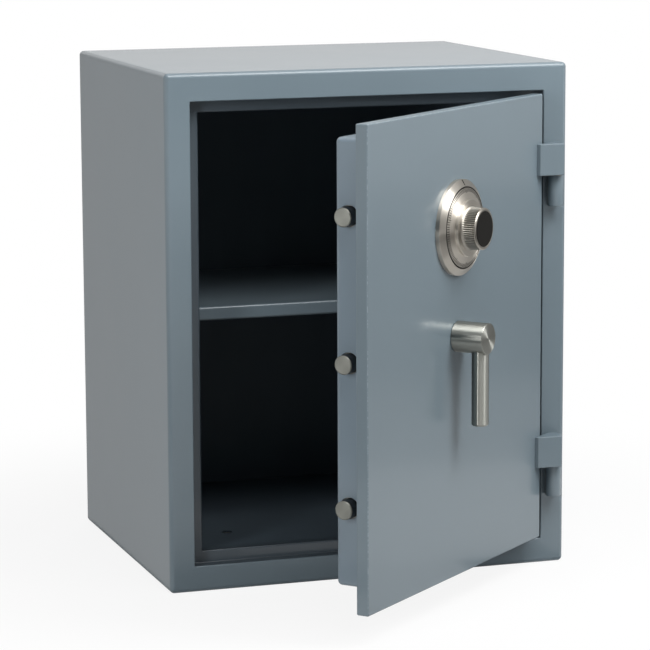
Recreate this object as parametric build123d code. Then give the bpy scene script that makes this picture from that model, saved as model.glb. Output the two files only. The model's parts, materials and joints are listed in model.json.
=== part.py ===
from build123d import *
import math
import os

# Security safe: cabinet, swinging door, boltwork, lever handle and combination lock, in millimetres.
# +X is right, +Y is back and +Z is up. The origin is the centre of the cabinet's underside.
# Everything on the door is drawn with the door shut, and then turned about the hinge pins
# by DOOR_REST_ANGLE, so that the door stands open. The bolts are drawn back and the lever hangs down.

# Cabinet
CABINET_WIDTH = 530.0
CABINET_DEPTH = 435.0
CABINET_HEIGHT = 650.0
SHELL_THICKNESS = 3.0
SHELL_EDGE_RADIUS = 6.0
OPENING_EDGE_RADIUS = 1.2
BACK_LIP = 22.0
BACK_PANEL_THICKNESS = 3.0
BACK_PANEL_INSET = 7.0

# Door frame: a rebate for the door plate, then a ledge that the bolts lock behind
FRAME_STILE = 32.0
FRAME_SILL = 33.0
FRAME_HEAD = 35.0
REBATE_DEPTH = 19.0
REBATE_WALL = 6.0
LEDGE_WIDTH = 15.0
LEDGE_THICKNESS = 12.0
LEDGE_EDGE_RADIUS = 2.0

# Cavity
LINER_THICKNESS = 2.0
SIDE_POCKET = 16.0
REAR_WALL = 31.0
LINER_CORNER_RADIUS = 6.0

# Anchor holes through the base
ANCHOR_HOLE_RADIUS = 7.0
ANCHOR_SPACING_X = 320.0
ANCHOR_SPACING_Y = 220.0
ANCHOR_SLEEVE_WALL = 3.0

# Shelf
SHELF_TOP = 348.0
SHELF_THICKNESS = 1.5
SHELF_LIP = 17.5
SHELF_RETURN = 12.0
SHELF_FRONT_SETBACK = 46.5
SHELF_BACK_GAP = 6.0
SHELF_SIDE_GAP = 0.5
SHELF_BEND_RADIUS = 3.0
BRACKET_LEG = 20.0
BRACKET_THICKNESS = 2.0
BRACKET_END_GAP = 6.0

# Hinges
PIN_FROM_SIDE = 19.0
PIN_STANDOFF = 10.5
PIN_RADIUS = 5.0
PIN_DEPTH = 34.0
PIN_END_GAP = 1.0
PIN_CHAMFER = 0.8
BARREL_RADIUS = 10.0
BARREL_SADDLE = 15.0
KNUCKLE_HEIGHT = 40.0
BARREL_EDGE_RADIUS = 1.4
HINGE_FACE = 18.0
HINGE_FACE_PAST_PIN = 4.0
HINGE_TOE = 5.0
HINGE_BEVEL_ANGLE = 41.75
HINGE_CHAMFER = 1.2
HINGE_FRAME_GAP = 0.8
HINGE_RUNNING_GAP = 0.3
WASHER_THICKNESS = 0.9
WASHER_WALL = 3.6
TOP_HINGE_BELOW_TOP = 182.0
BOTTOM_HINGE_ABOVE_BASE = 91.0
DOOR_REST_ANGLE = 41.75

# Door plate and the housing behind it
DOOR_GAP_SIDE = 4.0
DOOR_GAP_TOP = 3.0
DOOR_GAP_BOTTOM = 5.0
PLATE_THICKNESS = 16.0
PLATE_EDGE_RADIUS = 2.0
HOUSING_DEPTH = 46.0
HOUSING_WALL = 2.0
HOUSING_INSET_LOCK = 34.0
HOUSING_INSET_HINGE = 30.0
HOUSING_INSET_TOP = 20.0
HOUSING_INSET_BOTTOM = 23.0
HOUSING_EDGE_RADIUS = 6.0
HOUSING_BACK_RADIUS = 5.5
COVER_THICKNESS = 2.0
COVER_MARGIN = 20.0
COVER_LAP = 14.0
COVER_SCREW_RADIUS = 2.5
SCREW_HEAD_RADIUS = 4.5
SCREW_HEAD_HEIGHT = 2.4
SCREW_HEAD_CHAMFER = 0.7
SCREW_POINT = 2.0

# Fixed bar at the hinge side, which goes behind the ledge as the door shuts
DEAD_BAR_REACH = 7.0
DEAD_BAR_THICKNESS = 8.0
DEAD_BAR_BEHIND_LEDGE = 5.5
DEAD_BAR_END_GAP = 48.0
DEAD_BAR_CHAMFER = 1.5

# Boltwork
BOLT_RADIUS = 11.5
BOLT_BELOW_HANDLE = 7.5
BOLT_SPACING = 172.5
BOLT_BEHIND_PLATE = 28.0
BOLT_REST_PROTRUSION = 14.5
BOLT_CHAMFER = 1.2
BOLT_HOLE_GAP = 1.5
BOLT_TAIL_RADIUS = 5.0
BOLT_TAIL_PROUD = 2.0
NUT_THICKNESS = 6.0
NUT_RADIUS = 8.8
RUNNING_GAP = 0.05
FACE_GAP = 0.5
BAR_THICKNESS = 5.0
BAR_FROM_HOUSING_SIDE = 42.0
BAR_WEB_THICKNESS = 4.0
BAR_WEB_WIDTH = 69.0
BAR_END_OVERHANG = 24.0
GUIDE_THICKNESS = 4.0
GUIDE_FROM_HOUSING_SIDE = 5.0
GUIDE_FOOT_WIDTH = 12.5
GUIDE_FOOT_THICKNESS = 3.0
GUIDE_END_OVERHANG = 26.0
STUD_RADIUS = 5.0
STUD_HEAD_RADIUS = 8.0
STUD_HEAD_HEIGHT = 3.0
STUD_SLOT_GAP = 0.3
STUD_HEAD_GAP = 0.3
STUD_SPACING = 260.0

# Rack and pinion that turn the lever's quarter turn into the bolts' throw
GEAR_MODULE = 1.75
PINION_TEETH = 16
PRESSURE_ANGLE = 20.0
GEAR_BACKLASH = 0.16
GEAR_ADDENDUM = 0.8
GEAR_DEDENDUM = 1.25
GEAR_THICKNESS = 8.0
RACK_DEPTH = 16.0
RACK_TEETH = 10
RIVET_RADIUS = 3.0
RIVET_HEAD_RADIUS = 5.0
RIVET_HEAD_HEIGHT = 2.5
RIVET_HEAD_CHAMFER = 1.0
RIVET_EDGE = 1.0

# Lever handle
AXIS_FROM_LOCK_EDGE = 224.0
HANDLE_ABOVE_MIDDLE = 11.0
BOSS_RADIUS = 19.0
BOSS_LENGTH = 42.0
BOSS_EDGE_RADIUS = 1.0
BOSS_DOOR_GAP = 0.4
LEVER_RADIUS = 10.5
LEVER_STANDOFF = 31.0
LEVER_REACH = 107.0
LEVER_CHAMFER = 1.5
LEVER_SPIGOT_RADIUS = 5.0
LEVER_SPIGOT_LENGTH = 8.0
SPINDLE_RADIUS = 7.0
SPINDLE_SOCKET = 14.0
BUSH_WALL = 3.0
BUSH_FLANGE_RADIUS = 13.0
BUSH_FLANGE_THICKNESS = 2.0
PINION_HUB_RADIUS = 10.5
PINION_HUB_LENGTH = 5.0
CROSS_PIN_RADIUS = 1.5

# Combination dial
DIAL_ABOVE_HANDLE = 133.0
RING_RADIUS = 58.3
RING_RIM = 5.0
RING_HEIGHT = 10.0
RING_LIP = 1.2
DIAL_RADIUS = 48.5
DIAL_RUNNING_GAP = 0.6
DIAL_BACK_GAP = 1.0
DIAL_RIM = 10.2
DIAL_STEP_RADIUS = 34.5
DIAL_STEP_BASE = 14.0
DIAL_STEP_HEIGHT = 17.5
KNOB_BASE_RADIUS = 27.3
KNOB_FOOT = 1.2
KNOB_WAIST_RADIUS = 25.6
KNOB_WAIST_HEIGHT = 6.5
KNOB_RIM_RADIUS = 25.5
KNOB_HEIGHT = 36.0
KNOB_BEVEL = 2.2
KNURL_COUNT = 60
KNURL_DEPTH = 0.7
KNURL_WIDTH = 1.5
CAP_RADIUS = 21.5
CAP_HEIGHT = 2.0
CAP_SEAT = 1.5
CAP_EDGE = 0.4
INDEX_NOTCH_WIDTH = 2.2
INDEX_NOTCH_DEPTH = 1.2

# Combination lock inside the door
DIAL_SPINDLE_RADIUS = 4.0
SPINDLE_TUBE_RADIUS = 6.0
CASE_WIDTH = 62.0
CASE_HEIGHT = 82.0
CASE_DEPTH = 30.0
CASE_WALL = 2.5
CASE_COVER_THICKNESS = 2.0
CASE_POST_RADIUS = 4.5
CASE_CORNER_RADIUS = 4.0
WHEEL_COUNT = 3
WHEEL_RADIUS = 19.0
WHEEL_THICKNESS = 2.2
WHEEL_FACE_GAP = 0.3
WHEEL_GATE_WIDTH = 4.4
WHEEL_GATE_DEPTH = 3.6
WHEEL_HOLE_CIRCLE = 13.5
WHEEL_HOLE_RADIUS = 2.0
SPACER_RADIUS = 10.0
SPACER_THICKNESS = 0.8
CAM_RADIUS = 17.5
CAM_THICKNESS = 4.0
SPINDLE_PAST_CAM = 2.0
LOCK_BOLT_WIDTH = 12.0
LOCK_BOLT_THICKNESS = 8.0
LOCK_BOLT_HEIGHT = 20.5
LOCK_BOLT_OFFSET = 14.0
LOCK_BOLT_TRAVEL = 9.5
LOCK_BOLT_RECESS = 0.5
LOCK_BOLT_CHAMFER = 0.6
LOCK_LEVER_GAP = 1.0
LEVER_PLATE_THICKNESS = 2.0
FENCE_RADIUS = 1.5
FENCE_GAP = 0.7
LUG_WIDTH = 8.0
LUG_SIDE_GAP = 1.0
LUG_RISE = 7.0
LUG_GAP = 1.0
LOCK_ARM_HEIGHT = 10.0

# How far a cut runs past the face that it goes through, and how near an edge is to count as on a plane
PAST = 1.0
TOUCH = 0.01

# Places worked out from the sizes above
FRONT = -CABINET_DEPTH / 2
BACK = CABINET_DEPTH / 2
SIDE = CABINET_WIDTH / 2
OPENING_X = SIDE - FRAME_STILE
OPENING_BOTTOM = FRAME_SILL
OPENING_TOP = CABINET_HEIGHT - FRAME_HEAD
LEDGE_FRONT = FRONT + REBATE_DEPTH
LEDGE_BACK = LEDGE_FRONT + LEDGE_THICKNESS
MOUTH_X = OPENING_X - LEDGE_WIDTH
MOUTH_BOTTOM = OPENING_BOTTOM + LEDGE_WIDTH
MOUTH_TOP = OPENING_TOP - LEDGE_WIDTH
CAVITY_X = MOUTH_X + SIDE_POCKET
CAVITY_BACK = BACK - REAR_WALL

PIN_X = SIDE - PIN_FROM_SIDE
PIN_Y = FRONT - PIN_STANDOFF
HINGE_BASES = {
    "top": CABINET_HEIGHT - TOP_HINGE_BELOW_TOP,
    "bottom": BOTTOM_HINGE_ABOVE_BASE,
}

PLATE_X = OPENING_X - DOOR_GAP_SIDE
PLATE_BOTTOM = OPENING_BOTTOM + DOOR_GAP_BOTTOM
PLATE_TOP = OPENING_TOP - DOOR_GAP_TOP
PLATE_BACK = FRONT + PLATE_THICKNESS
HOUSING_LEFT = -PLATE_X + HOUSING_INSET_LOCK
HOUSING_RIGHT = PLATE_X - HOUSING_INSET_HINGE
HOUSING_BOTTOM = PLATE_BOTTOM + HOUSING_INSET_BOTTOM
HOUSING_TOP = PLATE_TOP - HOUSING_INSET_TOP
HOUSING_BACK = PLATE_BACK + HOUSING_DEPTH

AXIS_X = -PLATE_X + AXIS_FROM_LOCK_EDGE
HANDLE_Z = (PLATE_BOTTOM + PLATE_TOP) / 2 + HANDLE_ABOVE_MIDDLE
DIAL_Z = HANDLE_Z + DIAL_ABOVE_HANDLE

PITCH_RADIUS = GEAR_MODULE * PINION_TEETH / 2
BOLT_TRAVEL = PITCH_RADIUS * math.pi / 2
BOLT_MIDDLE_Z = HANDLE_Z - BOLT_BELOW_HANDLE
BOLT_HEIGHTS = {
    "top": BOLT_MIDDLE_Z + BOLT_SPACING,
    "middle": BOLT_MIDDLE_Z,
    "bottom": BOLT_MIDDLE_Z - BOLT_SPACING,
}
BOLT_Y = PLATE_BACK + BOLT_BEHIND_PLATE
BOLT_END = HOUSING_LEFT - BOLT_REST_PROTRUSION
BAR_X = HOUSING_LEFT + BAR_FROM_HOUSING_SIDE
BAR_FACE = BAR_X + BAR_THICKNESS
BAR_BOTTOM = BOLT_HEIGHTS["bottom"] - BAR_END_OVERHANG
BAR_TOP = BOLT_HEIGHTS["top"] + BAR_END_OVERHANG
WEB_FRONT = PLATE_BACK + FACE_GAP
WEB_BACK = WEB_FRONT + BAR_WEB_THICKNESS
WEB_RIGHT = BAR_FACE + BAR_WEB_WIDTH
STUD_X = WEB_RIGHT - STUD_HEAD_RADIUS - BOLT_TRAVEL - STUD_RADIUS

RACK_BACK = WEB_BACK + GEAR_THICKNESS
RACK_PITCH_Z = HANDLE_Z - PITCH_RADIUS
RACK_LEFT = BAR_FACE + NUT_THICKNESS + 2 * FACE_GAP
PINION_FRONT = PLATE_BACK + BUSH_FLANGE_THICKNESS + FACE_GAP
SPINDLE_END = RACK_BACK + PINION_HUB_LENGTH

CASE_BACK = PLATE_BACK + CASE_DEPTH
CASE_BOTTOM = DIAL_Z - CASE_HEIGHT / 2
STACK_PITCH = WHEEL_THICKNESS + SPACER_THICKNESS + 2 * WHEEL_FACE_GAP
STACK_FRONT = PLATE_BACK + CASE_WALL + 2 * WHEEL_FACE_GAP
STACK_BACK = STACK_FRONT + WHEEL_COUNT * STACK_PITCH - WHEEL_FACE_GAP
CAM_FRONT = STACK_BACK + WHEEL_FACE_GAP
CAM_BACK = CAM_FRONT + CAM_THICKNESS
LOCK_BOLT_X = AXIS_X - LOCK_BOLT_OFFSET
LOCK_BOLT_FRONT = STACK_FRONT + WHEEL_THICKNESS
LOCK_BOLT_BACK = LOCK_BOLT_FRONT + LOCK_BOLT_THICKNESS
LOCK_BOLT_TIP = CASE_BOTTOM + LOCK_BOLT_RECESS
LUG_LEFT = LOCK_BOLT_X + LOCK_BOLT_WIDTH / 2 + LUG_SIDE_GAP
LUG_TOP = LOCK_BOLT_TIP - LOCK_BOLT_TRAVEL + LUG_RISE


def block(x0, x1, y0, y1, z0, z1):
    size = (x1 - x0, y1 - y0, z1 - z0)
    return Pos((x0 + x1) / 2, (y0 + y1) / 2, (z0 + z1) / 2) * Box(*size)


def rod_x(y, z, radius, x0, x1):
    return Pos((x0 + x1) / 2, y, z) * Rot(0, 90, 0) * Cylinder(radius, x1 - x0)


def rod_y(x, z, radius, y0, y1):
    return Pos(x, (y0 + y1) / 2, z) * Rot(90, 0, 0) * Cylinder(radius, y1 - y0)


def rod_z(x, y, radius, z0, z1):
    return Pos(x, y, (z0 + z1) / 2) * Cylinder(radius, z1 - z0)


def prism_y(sketch, y0, y1):
    """A sketch drawn looking from the front, with its own x along X and y along Z."""
    return extrude(Plane.XZ.offset(-y1) * sketch, amount=y1 - y0)


def turned(points, z):
    """A form turned about the dial or handle axis from (radius, height above the door's face) points."""
    profile = make_face(Polyline(*points, close=True))
    return Pos(AXIS_X, FRONT, z) * Rot(0, 0, 180) * revolve(profile, Axis.Y)


def edges_on(shape, axis, place):
    return shape.edges().filter_by_position(axis, place - TOUCH, place + TOUCH)


def rim_edges(shape, y, half_width, bottom, top):
    """The edges in one plane that run round an opening."""
    middles = [(edge, edge.center()) for edge in edges_on(shape, Axis.Y, y)]
    return [
        edge
        for edge, middle in middles
        if abs(middle.X) <= half_width + TOUCH and bottom - TOUCH <= middle.Z <= top + TOUCH
    ]


# Cabinet


def shell_core():
    inset = SHELL_THICKNESS
    core = block(-SIDE + inset, SIDE - inset, FRONT + inset, BACK - inset, inset, CABINET_HEIGHT - inset)
    return fillet(core.edges(), SHELL_EDGE_RADIUS - SHELL_THICKNESS)


def anchor_rods(radius, z0, z1):
    places = GridLocations(ANCHOR_SPACING_X, ANCHOR_SPACING_Y, 2, 2)
    return [place * rod_z(0, 0, radius, z0, z1) for place in places]


def outer_shell():
    shell = fillet(block(-SIDE, SIDE, FRONT, BACK, 0, CABINET_HEIGHT).edges(), SHELL_EDGE_RADIUS)
    shell -= shell_core()
    shell -= block(-OPENING_X, OPENING_X, FRONT - PAST, 0, OPENING_BOTTOM, OPENING_TOP)
    lip = BACK_LIP
    shell -= block(-SIDE + lip, SIDE - lip, 0, BACK + PAST, lip, CABINET_HEIGHT - lip)
    shell -= anchor_rods(ANCHOR_HOLE_RADIUS, -PAST, SHELL_THICKNESS + PAST)
    return fillet(rim_edges(shell, FRONT, OPENING_X, OPENING_BOTTOM, OPENING_TOP), OPENING_EDGE_RADIUS)


def back_panel():
    inset = BACK_PANEL_INSET
    back = BACK - SHELL_THICKNESS
    front = back - BACK_PANEL_THICKNESS
    return block(-SIDE + inset, SIDE - inset, front, back, inset, CABINET_HEIGHT - inset)


def frame_blank():
    wall = REBATE_WALL
    front = FRONT + SHELL_THICKNESS
    return block(
        -OPENING_X - wall, OPENING_X + wall, front, LEDGE_BACK, OPENING_BOTTOM - wall, OPENING_TOP + wall
    )


def door_frame():
    frame = frame_blank()
    frame -= block(-OPENING_X, OPENING_X, FRONT, LEDGE_FRONT, OPENING_BOTTOM, OPENING_TOP)
    frame -= block(-MOUTH_X, MOUTH_X, FRONT, LEDGE_BACK + PAST, MOUTH_BOTTOM, MOUTH_TOP)
    return fillet(rim_edges(frame, LEDGE_FRONT, MOUTH_X, MOUTH_BOTTOM, MOUTH_TOP), LEDGE_EDGE_RADIUS)


def liner_blank():
    wall = LINER_THICKNESS
    half, back = CAVITY_X + wall, CAVITY_BACK + wall
    blank = block(-half, half, LEDGE_BACK, back, MOUTH_BOTTOM - wall, MOUTH_TOP + wall)
    return fillet(blank.edges().filter_by(Axis.Y), LINER_CORNER_RADIUS + wall)


def inner_liner():
    space = block(-CAVITY_X, CAVITY_X, LEDGE_BACK - PAST, CAVITY_BACK, MOUTH_BOTTOM, MOUTH_TOP)
    liner = liner_blank() - fillet(space.edges().filter_by(Axis.Y), LINER_CORNER_RADIUS)
    return liner - anchor_rods(ANCHOR_HOLE_RADIUS, MOUTH_BOTTOM - LINER_THICKNESS - PAST, MOUTH_BOTTOM + PAST)


def anchor_sleeves():
    z0, z1 = SHELL_THICKNESS, MOUTH_BOTTOM - LINER_THICKNESS
    outer = anchor_rods(ANCHOR_HOLE_RADIUS + ANCHOR_SLEEVE_WALL, z0, z1)
    inner = anchor_rods(ANCHOR_HOLE_RADIUS, z0 - PAST, z1 + PAST)
    return Compound(children=[tube - bore for tube, bore in zip(outer, inner)])


def barrier_fill():
    fill = shell_core()
    fill -= block(-SIDE, SIDE, BACK - SHELL_THICKNESS - BACK_PANEL_THICKNESS, BACK, 0, CABINET_HEIGHT)
    fill -= frame_blank()
    fill -= liner_blank()
    return fill - anchor_rods(ANCHOR_HOLE_RADIUS + ANCHOR_SLEEVE_WALL, 0, MOUTH_BOTTOM)


def shelf():
    half = CAVITY_X - SHELF_SIDE_GAP
    front = LEDGE_BACK + SHELF_FRONT_SETBACK
    back = CAVITY_BACK - SHELF_BACK_GAP
    sheet = SHELF_THICKNESS
    under = SHELF_TOP - SHELF_LIP
    tray = block(-half, half, front, back, under, SHELF_TOP)
    tray = fillet(tray.edges().filter_by(Axis.X), SHELF_BEND_RADIUS)
    hollow = block(-half - PAST, half + PAST, front + sheet, back - sheet, under + sheet, SHELF_TOP - sheet)
    hollow = fillet(hollow.edges().filter_by(Axis.X), SHELF_BEND_RADIUS - sheet)
    tray -= hollow
    front, back = front + SHELF_RETURN, back - SHELF_RETURN
    return tray - block(-half - PAST, half + PAST, front, back, under - PAST, under + sheet)


def shelf_brackets():
    top = SHELF_TOP - SHELF_THICKNESS
    front = LEDGE_BACK + SHELF_FRONT_SETBACK + SHELF_RETURN + BRACKET_END_GAP
    back = CAVITY_BACK - SHELF_BACK_GAP - SHELF_RETURN - BRACKET_END_GAP
    angles = []
    for side in (-1, 1):
        wall, foot = side * CAVITY_X, side * (CAVITY_X - BRACKET_LEG)
        skin = side * (CAVITY_X - BRACKET_THICKNESS)
        upright = block(min(wall, skin), max(wall, skin), front, back, top - BRACKET_LEG, top)
        level = block(min(wall, foot), max(wall, foot), front, back, top - BRACKET_THICKNESS, top)
        angles.append(upright + level)
    return Compound(children=angles)


# Hinges


def block_base(base):
    return base + KNUCKLE_HEIGHT + WASHER_THICKNESS + HINGE_RUNNING_GAP


def hinge_barrel(base):
    top = base + KNUCKLE_HEIGHT
    barrel = rod_z(PIN_X, PIN_Y, BARREL_RADIUS, base, top)
    half = BARREL_SADDLE / 2
    saddle = block(PIN_X - half, PIN_X + half, PIN_Y, FRONT, base, top)
    barrel = fillet(edges_on(barrel, Axis.Z, base), BARREL_EDGE_RADIUS) + saddle
    return barrel - rod_z(PIN_X, PIN_Y, PIN_RADIUS, top - PIN_DEPTH, top + PAST)


def hinge_pin(base):
    top = block_base(base) + PIN_DEPTH - PIN_END_GAP
    pin = rod_z(PIN_X, PIN_Y, PIN_RADIUS, base + KNUCKLE_HEIGHT - PIN_DEPTH, top)
    return chamfer(edges_on(pin, Axis.Z, top), PIN_CHAMFER)


def hinge_washers():
    washers = []
    for base in HINGE_BASES.values():
        z0 = base + KNUCKLE_HEIGHT
        ring = rod_z(PIN_X, PIN_Y, PIN_RADIUS + WASHER_WALL, z0, z0 + WASHER_THICKNESS)
        washers.append(ring - rod_z(PIN_X, PIN_Y, PIN_RADIUS, z0 - PAST, z0 + WASHER_THICKNESS + PAST))
    return Compound(children=washers)


def hinge_block(base):
    """A knuckle round the pin, with a flat leaf face that slopes down to a toe on the door."""
    z0 = block_base(base)
    z1 = z0 + KNUCKLE_HEIGHT
    reach = PIN_STANDOFF - HINGE_FRAME_GAP
    slope = math.radians(HINGE_BEVEL_ANGLE)
    fall = PIN_STANDOFF - HINGE_TOE + HINGE_FACE * math.cos(slope)
    toe = PIN_X - HINGE_FACE * math.sin(slope) - fall / math.tan(slope)
    crest_x = HINGE_FACE_PAST_PIN * math.cos(slope) - HINGE_FACE * math.sin(slope)
    crest_y = -HINGE_FACE_PAST_PIN * math.sin(slope) - HINGE_FACE * math.cos(slope)
    start = math.atan2(crest_y, crest_x) + math.acos(reach / math.hypot(crest_x, crest_y))
    middle = (start + math.pi / 2) / 2
    corners = [
        (PIN_X, PIN_Y + reach),
        (PLATE_X, PIN_Y + reach),
        (PLATE_X, FRONT),
        (toe, FRONT),
        (toe, FRONT - HINGE_TOE),
        (PIN_X + crest_x, PIN_Y + crest_y),
        (PIN_X + reach * math.cos(start), PIN_Y + reach * math.sin(start)),
    ]
    nose = ThreePointArc(
        corners[-1],
        (PIN_X + reach * math.cos(middle), PIN_Y + reach * math.sin(middle)),
        corners[0],
    )
    outline = make_face(Wire([*Polyline(*corners).edges(), nose]))
    body = Pos(0, 0, z0) * extrude(outline, KNUCKLE_HEIGHT, dir=(0, 0, 1))
    ends = [edge for z in (z0, z1) for edge in edges_on(body, Axis.Z, z) if edge.center().Y < FRONT - HINGE_TOE]
    uprights = edges_on(body, Axis.Y, FRONT - HINGE_TOE) + edges_on(body, Axis.Y, PIN_Y + crest_y)
    body = chamfer(ShapeList(ends + uprights), HINGE_CHAMFER)
    return body - rod_z(PIN_X, PIN_Y, PIN_RADIUS + RUNNING_GAP, z0 - PAST, z0 + PIN_DEPTH)


# Door


def door_plate():
    plate = block(-PLATE_X, PLATE_X, FRONT, PLATE_BACK, PLATE_BOTTOM, PLATE_TOP)
    plate = fillet(plate.edges(), PLATE_EDGE_RADIUS)
    plate -= rod_y(AXIS_X, HANDLE_Z, SPINDLE_RADIUS + BUSH_WALL, FRONT - PAST, PLATE_BACK + PAST)
    return plate - rod_y(AXIS_X, DIAL_Z, SPINDLE_TUBE_RADIUS, FRONT - PAST, PLATE_BACK + PAST)


def housing_blank(inset, back_inset):
    blank = block(
        HOUSING_LEFT + inset,
        HOUSING_RIGHT - inset,
        PLATE_BACK,
        HOUSING_BACK - back_inset,
        HOUSING_BOTTOM + inset,
        HOUSING_TOP - inset,
    )
    blank = fillet(blank.edges().filter_by(Axis.Y), HOUSING_EDGE_RADIUS - inset)
    return fillet(edges_on(blank, Axis.Y, HOUSING_BACK - back_inset), HOUSING_BACK_RADIUS - back_inset)


def cover_opening():
    margin = COVER_MARGIN + COVER_LAP
    return (
        HOUSING_LEFT + margin,
        HOUSING_RIGHT - margin,
        HOUSING_BOTTOM + margin,
        HOUSING_TOP - margin,
    )


def cover_screw_places():
    x0, x1, z0, z1 = cover_opening()
    edge = COVER_LAP / 2
    rows = (z0 - edge, (z0 + z1) / 2, z1 + edge)
    return [(x, z) for x in (x0 - edge, x1 + edge) for z in rows]


def bolt_housing():
    housing = housing_blank(0, 0) - housing_blank(HOUSING_WALL, HOUSING_WALL)
    x0, x1, z0, z1 = cover_opening()
    housing -= block(x0, x1, HOUSING_BACK - 2 * HOUSING_WALL, HOUSING_BACK + PAST, z0, z1)
    for z in BOLT_HEIGHTS.values():
        hole = BOLT_RADIUS + BOLT_HOLE_GAP
        housing -= rod_x(BOLT_Y, z, hole, HOUSING_LEFT - PAST, HOUSING_LEFT + 2 * HOUSING_WALL)
    for x, z in cover_screw_places():
        housing -= rod_y(x, z, COVER_SCREW_RADIUS, HOUSING_BACK - 2 * HOUSING_WALL, HOUSING_BACK + PAST)
    return housing


def back_cover():
    x0, x1, z0, z1 = cover_opening()
    lap = COVER_LAP
    cover = block(x0 - lap, x1 + lap, HOUSING_BACK, HOUSING_BACK + COVER_THICKNESS, z0 - lap, z1 + lap)
    cover = fillet(cover.edges().filter_by(Axis.Y), HOUSING_EDGE_RADIUS)
    for x, z in cover_screw_places():
        cover -= rod_y(x, z, COVER_SCREW_RADIUS, HOUSING_BACK - PAST, HOUSING_BACK + COVER_THICKNESS + PAST)
    return cover


def cover_screws():
    seat = HOUSING_BACK + COVER_THICKNESS
    screws = []
    for x, z in cover_screw_places():
        shank = rod_y(x, z, COVER_SCREW_RADIUS, HOUSING_BACK - HOUSING_WALL - SCREW_POINT, seat)
        head = rod_y(x, z, SCREW_HEAD_RADIUS, seat, seat + SCREW_HEAD_HEIGHT)
        head = chamfer(edges_on(head, Axis.Y, seat + SCREW_HEAD_HEIGHT), SCREW_HEAD_CHAMFER)
        screws.append(shank + head)
    return Compound(children=screws)


def dead_bar():
    reach = MOUTH_X + DEAD_BAR_REACH
    front = LEDGE_BACK + DEAD_BAR_BEHIND_LEDGE
    z0, z1 = HOUSING_BOTTOM + DEAD_BAR_END_GAP, HOUSING_TOP - DEAD_BAR_END_GAP
    bar = block(HOUSING_RIGHT, reach, front, front + DEAD_BAR_THICKNESS, z0, z1)
    return chamfer(edges_on(bar, Axis.X, reach), DEAD_BAR_CHAMFER)


# Boltwork


def bolt_guide():
    x0 = HOUSING_LEFT + GUIDE_FROM_HOUSING_SIDE
    z0, z1 = BOLT_HEIGHTS["bottom"] - GUIDE_END_OVERHANG, BOLT_HEIGHTS["top"] + GUIDE_END_OVERHANG
    web = block(x0, x0 + GUIDE_THICKNESS, PLATE_BACK, HOUSING_BACK - HOUSING_WALL - FACE_GAP, z0, z1)
    foot = block(x0, x0 + GUIDE_FOOT_WIDTH, PLATE_BACK, PLATE_BACK + GUIDE_FOOT_THICKNESS, z0, z1)
    guide = web + foot
    for z in BOLT_HEIGHTS.values():
        guide -= rod_x(BOLT_Y, z, BOLT_RADIUS + RUNNING_GAP, x0 - PAST, x0 + GUIDE_THICKNESS + PAST)
    return guide


def locking_bolt(z):
    bolt = rod_x(BOLT_Y, z, BOLT_RADIUS, BOLT_END, BAR_X)
    bolt = chamfer(edges_on(bolt, Axis.X, BOLT_END), BOLT_CHAMFER)
    return bolt + rod_x(BOLT_Y, z, BOLT_TAIL_RADIUS, BAR_X, BAR_FACE + NUT_THICKNESS + BOLT_TAIL_PROUD)


def bolt_nuts():
    nuts = []
    for z in BOLT_HEIGHTS.values():
        outline = Plane.YZ.offset(BAR_FACE) * Pos(BOLT_Y, z) * RegularPolygon(NUT_RADIUS, 6)
        bore = rod_x(BOLT_Y, z, BOLT_TAIL_RADIUS, BAR_FACE - PAST, BAR_FACE + NUT_THICKNESS + PAST)
        nuts.append(extrude(outline, NUT_THICKNESS) - bore)
    return Compound(children=nuts)


def rivet_places():
    z = RACK_PITCH_Z - RACK_DEPTH / 2
    edge = RIVET_HEAD_RADIUS + RIVET_EDGE
    return [(RACK_LEFT + edge, z), (WEB_RIGHT - edge, z)]


def stud_heights():
    return [HANDLE_Z - STUD_SPACING / 2, HANDLE_Z + STUD_SPACING / 2]


def bolt_bar():
    flange = block(BAR_X, BAR_FACE, WEB_FRONT, BOLT_Y + BOLT_RADIUS, BAR_BOTTOM, BAR_TOP)
    web = block(BAR_FACE, WEB_RIGHT, WEB_FRONT, WEB_BACK, BAR_BOTTOM, BAR_TOP)
    arm_bottom = LUG_TOP - LUG_RISE - LUG_GAP - LOCK_ARM_HEIGHT
    arm = block(WEB_RIGHT, LUG_LEFT + LUG_WIDTH, WEB_FRONT, WEB_BACK, arm_bottom, arm_bottom + LOCK_ARM_HEIGHT)
    lug = block(LUG_LEFT, LUG_LEFT + LUG_WIDTH, WEB_FRONT, LOCK_BOLT_BACK, arm_bottom, LUG_TOP)
    bar = flange + web + arm + lug
    for z in BOLT_HEIGHTS.values():
        bar -= rod_x(BOLT_Y, z, BOLT_TAIL_RADIUS, BAR_X - PAST, BAR_FACE + PAST)
    width = 2 * (STUD_RADIUS + STUD_SLOT_GAP)
    for z in stud_heights():
        slot = SlotCenterToCenter(BOLT_TRAVEL, width)
        bar -= prism_y(Pos(STUD_X + BOLT_TRAVEL / 2, z) * slot, WEB_FRONT - PAST, WEB_BACK + PAST)
    for x, z in rivet_places():
        bar -= rod_y(x, z, RIVET_RADIUS, WEB_FRONT - PAST, WEB_BACK + PAST)
    return bar


def bar_guide_studs():
    studs = []
    for z in stud_heights():
        seat = WEB_BACK + STUD_HEAD_GAP
        shank = rod_y(STUD_X, z, STUD_RADIUS, PLATE_BACK, seat)
        studs.append(shank + rod_y(STUD_X, z, STUD_HEAD_RADIUS, seat, seat + STUD_HEAD_HEIGHT))
    return Compound(children=studs)


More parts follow.
